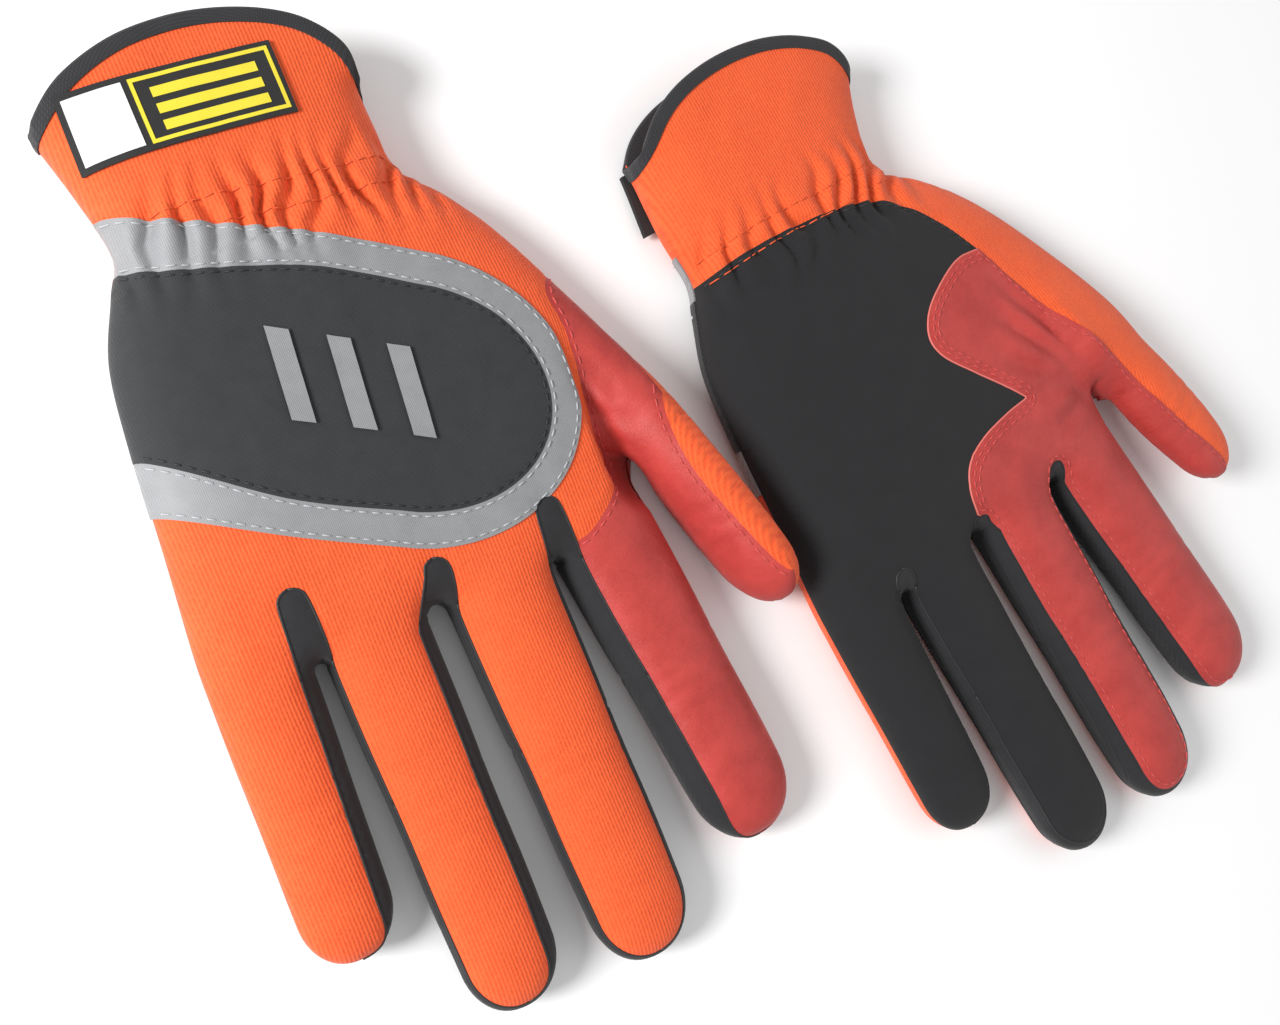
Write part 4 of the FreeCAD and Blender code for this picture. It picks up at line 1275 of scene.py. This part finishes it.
def hem_run(glove):
    """Points along the cuff's rear edge, close together at its ends, and the way inwards at each."""
    hem, outline = glove.hem(), glove.outline
    count, end_share = 90, 0.15
    share = (1 - np.cos(np.linspace(0, math.pi, count))) / 2
    lengths = np.concatenate([[0], np.cumsum(np.linalg.norm(np.diff(hem, axis=0), axis=1))])
    at = np.column_stack([np.interp(share * lengths[-1], lengths, hem[:, k]) for k in (0, 1)])
    run = unit(np.gradient(at, axis=0))
    inward = np.column_stack([-run[:, 1], run[:, 0]])
    if inward[count // 2] @ at[count // 2] > 0:
        inward = -inward
    near_thumb = np.clip(1 - share / end_share, 0, 1)[:, None]
    near_pinky = np.clip(1 - (1 - share) / end_share, 0, 1)[:, None]
    thumb_way, pinky_way = unit(outline[-len(hem) - 1] - hem[0]), unit(outline[2] - hem[-1])
    inward = inward * (1 - near_thumb - near_pinky) + thumb_way * near_thumb + pinky_way * near_pinky
    return at, unit(inward)


def tape_profile(points, normals, thick):
    """Section of the folded tape: over the outer side, round the edge and back along the lining."""
    out = unit(points[0] - points[1])
    rise = (0.42, BINDING_CLOTH, BINDING_CLOTH, 0.4)
    over = [points[k] + normals[k] * rise[k] * MM for k in range(4)]
    under = [points[k] - normals[k] * (thick[k] + rise[k]) * MM for k in range(4)]
    fold = [points[0] + (out * reach + normals[0] * depth) * MM
            for reach, depth in ((0.55, 0.1), (0.7, -thick[0] / 2), (0.55, -thick[0] - 0.1))]
    seam = [points[3] - normals[3] * thick[3] * MM, points[0] - normals[0] * thick[0] * MM, points[0]]
    return [points[3], *over[::-1], *fold, *under, *seam]


def bind_hem(trims):
    """A tape folded over the cuff's rear edge, all the way round its mouth."""
    surfaces, glove = trims.surfaces, trims.glove
    at, inward = hem_run(glove)
    rows = {face: [surfaces.sample(face, at + inward * depth) for depth in BINDING_ROWS]
            for face in (glove.upper, glove.lower)}
    thick = np.array([surfaces.thickness_at(at + inward * depth) for depth in BINDING_ROWS])
    last = len(at) - 1
    order = [(glove.upper, i) for i in range(last + 1)] + [(glove.lower, i) for i in range(last - 1, 0, -1)]
    rings, plans = [], []
    for face, i in order:
        points, normals = ([row[part][i] for row in rows[face]] for part in (0, 1))
        if i in (0, last):
            pairs = list(zip(rows[glove.upper], rows[glove.lower]))
            normals = [unit(above[1][i] + below[1][i]) for above, below in pairs]
            points = [(above[0][i] + below[0][i]) / 2 for above, below in pairs]
        profile = tape_profile(points, normals, thick[:, i])
        rings += profile
        plans += [at[i] / 10 + np.array([0.0, 0.08 * k]) for k in range(len(profile))]
    faces = sweep_faces(len(order), len(profile), closed=True)
    points = np.array(rings)
    if signed_volume(points, faces) < 0:
        faces = [face[::-1] for face in faces]
    trims.add("wrist", "binding", points, faces, np.array(plans))


def signed_volume(points, faces):
    """Positive when the faces look outwards."""
    total = 0.0
    for face in faces:
        a = points[face[0]]
        for b, c in zip(face[1:], face[2:]):
            total += np.dot(a, np.cross(points[b], points[c]))
    return total / 6


def sew_trims(surfaces):
    """Every thread, tape and label of one glove."""
    trims = Trims(surfaces)
    sew_back_threads(trims)
    sew_palm_threads(trims)
    sew_wrist_threads(trims)
    sew_label(trims)
    sew_bars(trims)
    sew_elastic(trims)
    bind_hem(trims)
    return trims.build()


def largest(panels, region, face):
    """The panel that covers most of a region on one face, side walls left out."""
    found = [piece for (part, side, panel), piece in panels.items()
             if part == region and side == face and not panel.startswith("wall")]
    return max(found, key=lambda piece: len(piece.data.polygons))


def replace_nodes(side, panels, patches, trims):
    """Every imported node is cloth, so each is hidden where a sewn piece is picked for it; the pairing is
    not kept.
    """
    stand_ins = {
        "back_panel": panels[("hand", "back", "knit")],
        "palm_panel": panels[("hand", "palm", "suede")],
        "palm_overlay": panels[("hand", "palm", "leather")],
        "knuckle_patch": patches["oval"],
        "reflective_band": patches["band"],
        "wrist_elastic": trims[("wrist", "elastic")],
        "cuff": panels[("wrist", "back", "knit")],
        "hem_binding": trims[("wrist", "binding")],
        "label": trims[("wrist", "label")],
    }
    for thumb_side, pinky_side in NEXT_FINGER.items():
        stand_ins[f"fourchette_{thumb_side}_{pinky_side}"] = panels[("hand", "back", f"wall_{thumb_side}")]
    for name in DIGITS:
        stand_ins[f"{name}_back"] = largest(panels, f"{name}_lower", "back")
        stand_ins[f"{name}_palm"] = largest(panels, f"{name}_lower", "palm")
        stand_ins[f"{name}_tip"] = largest(panels, f"{name}_end", "back")
    stand_ins["thumb_back"] = panels[("thumb_lower", "back", "knit")]
    for node, piece in stand_ins.items():
        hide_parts(f"{side}_{node}")


for glove in GLOVES:
    surfaces = Surfaces(glove)
    replace_nodes(glove.side, sew_panels(surfaces), sew_patches(surfaces), sew_trims(surfaces))


# ---------------------------------------------------------------- floor, light and camera
def stage_floor():
    """A plain pale table top."""
    low, high = START_BOUNDS
    middle = (low + high) / 2
    mesh = bpy.data.meshes.new("table_top")
    reach = 6.0
    corners = [(middle.x + a * reach, middle.y + b * reach, 0)
               for a, b in ((-1, -1), (1, -1), (1, 1), (-1, 1))]
    mesh.from_pydata(corners, [], [(0, 1, 2, 3)])
    table = bpy.data.objects.new("table_top", mesh)
    bpy.context.collection.objects.link(table)
    material = bpy.data.materials.new("table_white")
    material.use_nodes = True
    shader = material.node_tree.nodes["Principled BSDF"]
    shader.inputs["Base Color"].default_value = (0.93, 0.93, 0.93, 1)
    shader.inputs["Roughness"].default_value = 0.9
    mesh.materials.append(material)


def area_light(name, position, target, width, power):
    data = bpy.data.lights.new(name, "AREA")
    data.shape = "DISK"
    data.size = width
    data.energy = power
    lamp = bpy.data.objects.new(name, data)
    lamp.location = position
    lamp.rotation_euler = (Vector(target) - Vector(position)).to_track_quat("-Z", "Y").to_euler()
    bpy.context.collection.objects.link(lamp)


def light_room():
    """Soft studio light: a key from the upper left, a wide fill from the right and a bright room."""
    low, high = START_BOUNDS
    middle = (low + high) / 2
    area_light("key_light", middle + Vector((-0.8, 0.3, 0.5)), middle, 0.35, 12.0)
    area_light("fill_light", middle + Vector((0.9, -0.3, 0.9)), middle, 1.2, 3.0)
    world = bpy.data.worlds.new("studio")
    world.use_nodes = True
    world.node_tree.nodes["Background"].inputs["Color"].default_value = (1, 1, 1, 1)
    world.node_tree.nodes["Background"].inputs["Strength"].default_value = 0.55
    bpy.context.scene.world = world
    bpy.context.scene.view_settings.view_transform = "Standard"


CAMERA_BACK = Vector((-0.4109, 0.0642, 0.9094))   # from the pair towards the camera
CAMERA_RIGHT = Vector((0.7962, -0.4606, 0.3923))  # the picture's right
CAMERA_FROM_WRIST = Vector((-0.0884, -0.0841, 0.3281))  # from the right glove's wrist
CAMERA_LENS = 37.8
CAMERA_SHIFT = (-0.0095, -0.0065)


def place_camera():
    """Above the right glove's palm, looking down towards the left glove, fingers to the lower right."""
    back = CAMERA_BACK.normalized()
    right = (CAMERA_RIGHT - back * CAMERA_RIGHT.dot(back)).normalized()
    up = back.cross(right)
    data = bpy.data.cameras.new("camera")
    data.lens = CAMERA_LENS
    data.sensor_width = 36
    data.shift_x, data.shift_y = CAMERA_SHIFT
    data.clip_start = 0.01
    camera = bpy.data.objects.new("camera", data)
    wrist = Vector((*GLOVES[0].origin, 0))
    turn = Matrix((right, up, back)).transposed()
    camera.matrix_world = Matrix.Translation(wrist + CAMERA_FROM_WRIST) @ turn.to_4x4()
    bpy.context.collection.objects.link(camera)
    bpy.context.scene.camera = camera


stage_floor()
light_room()
place_camera()
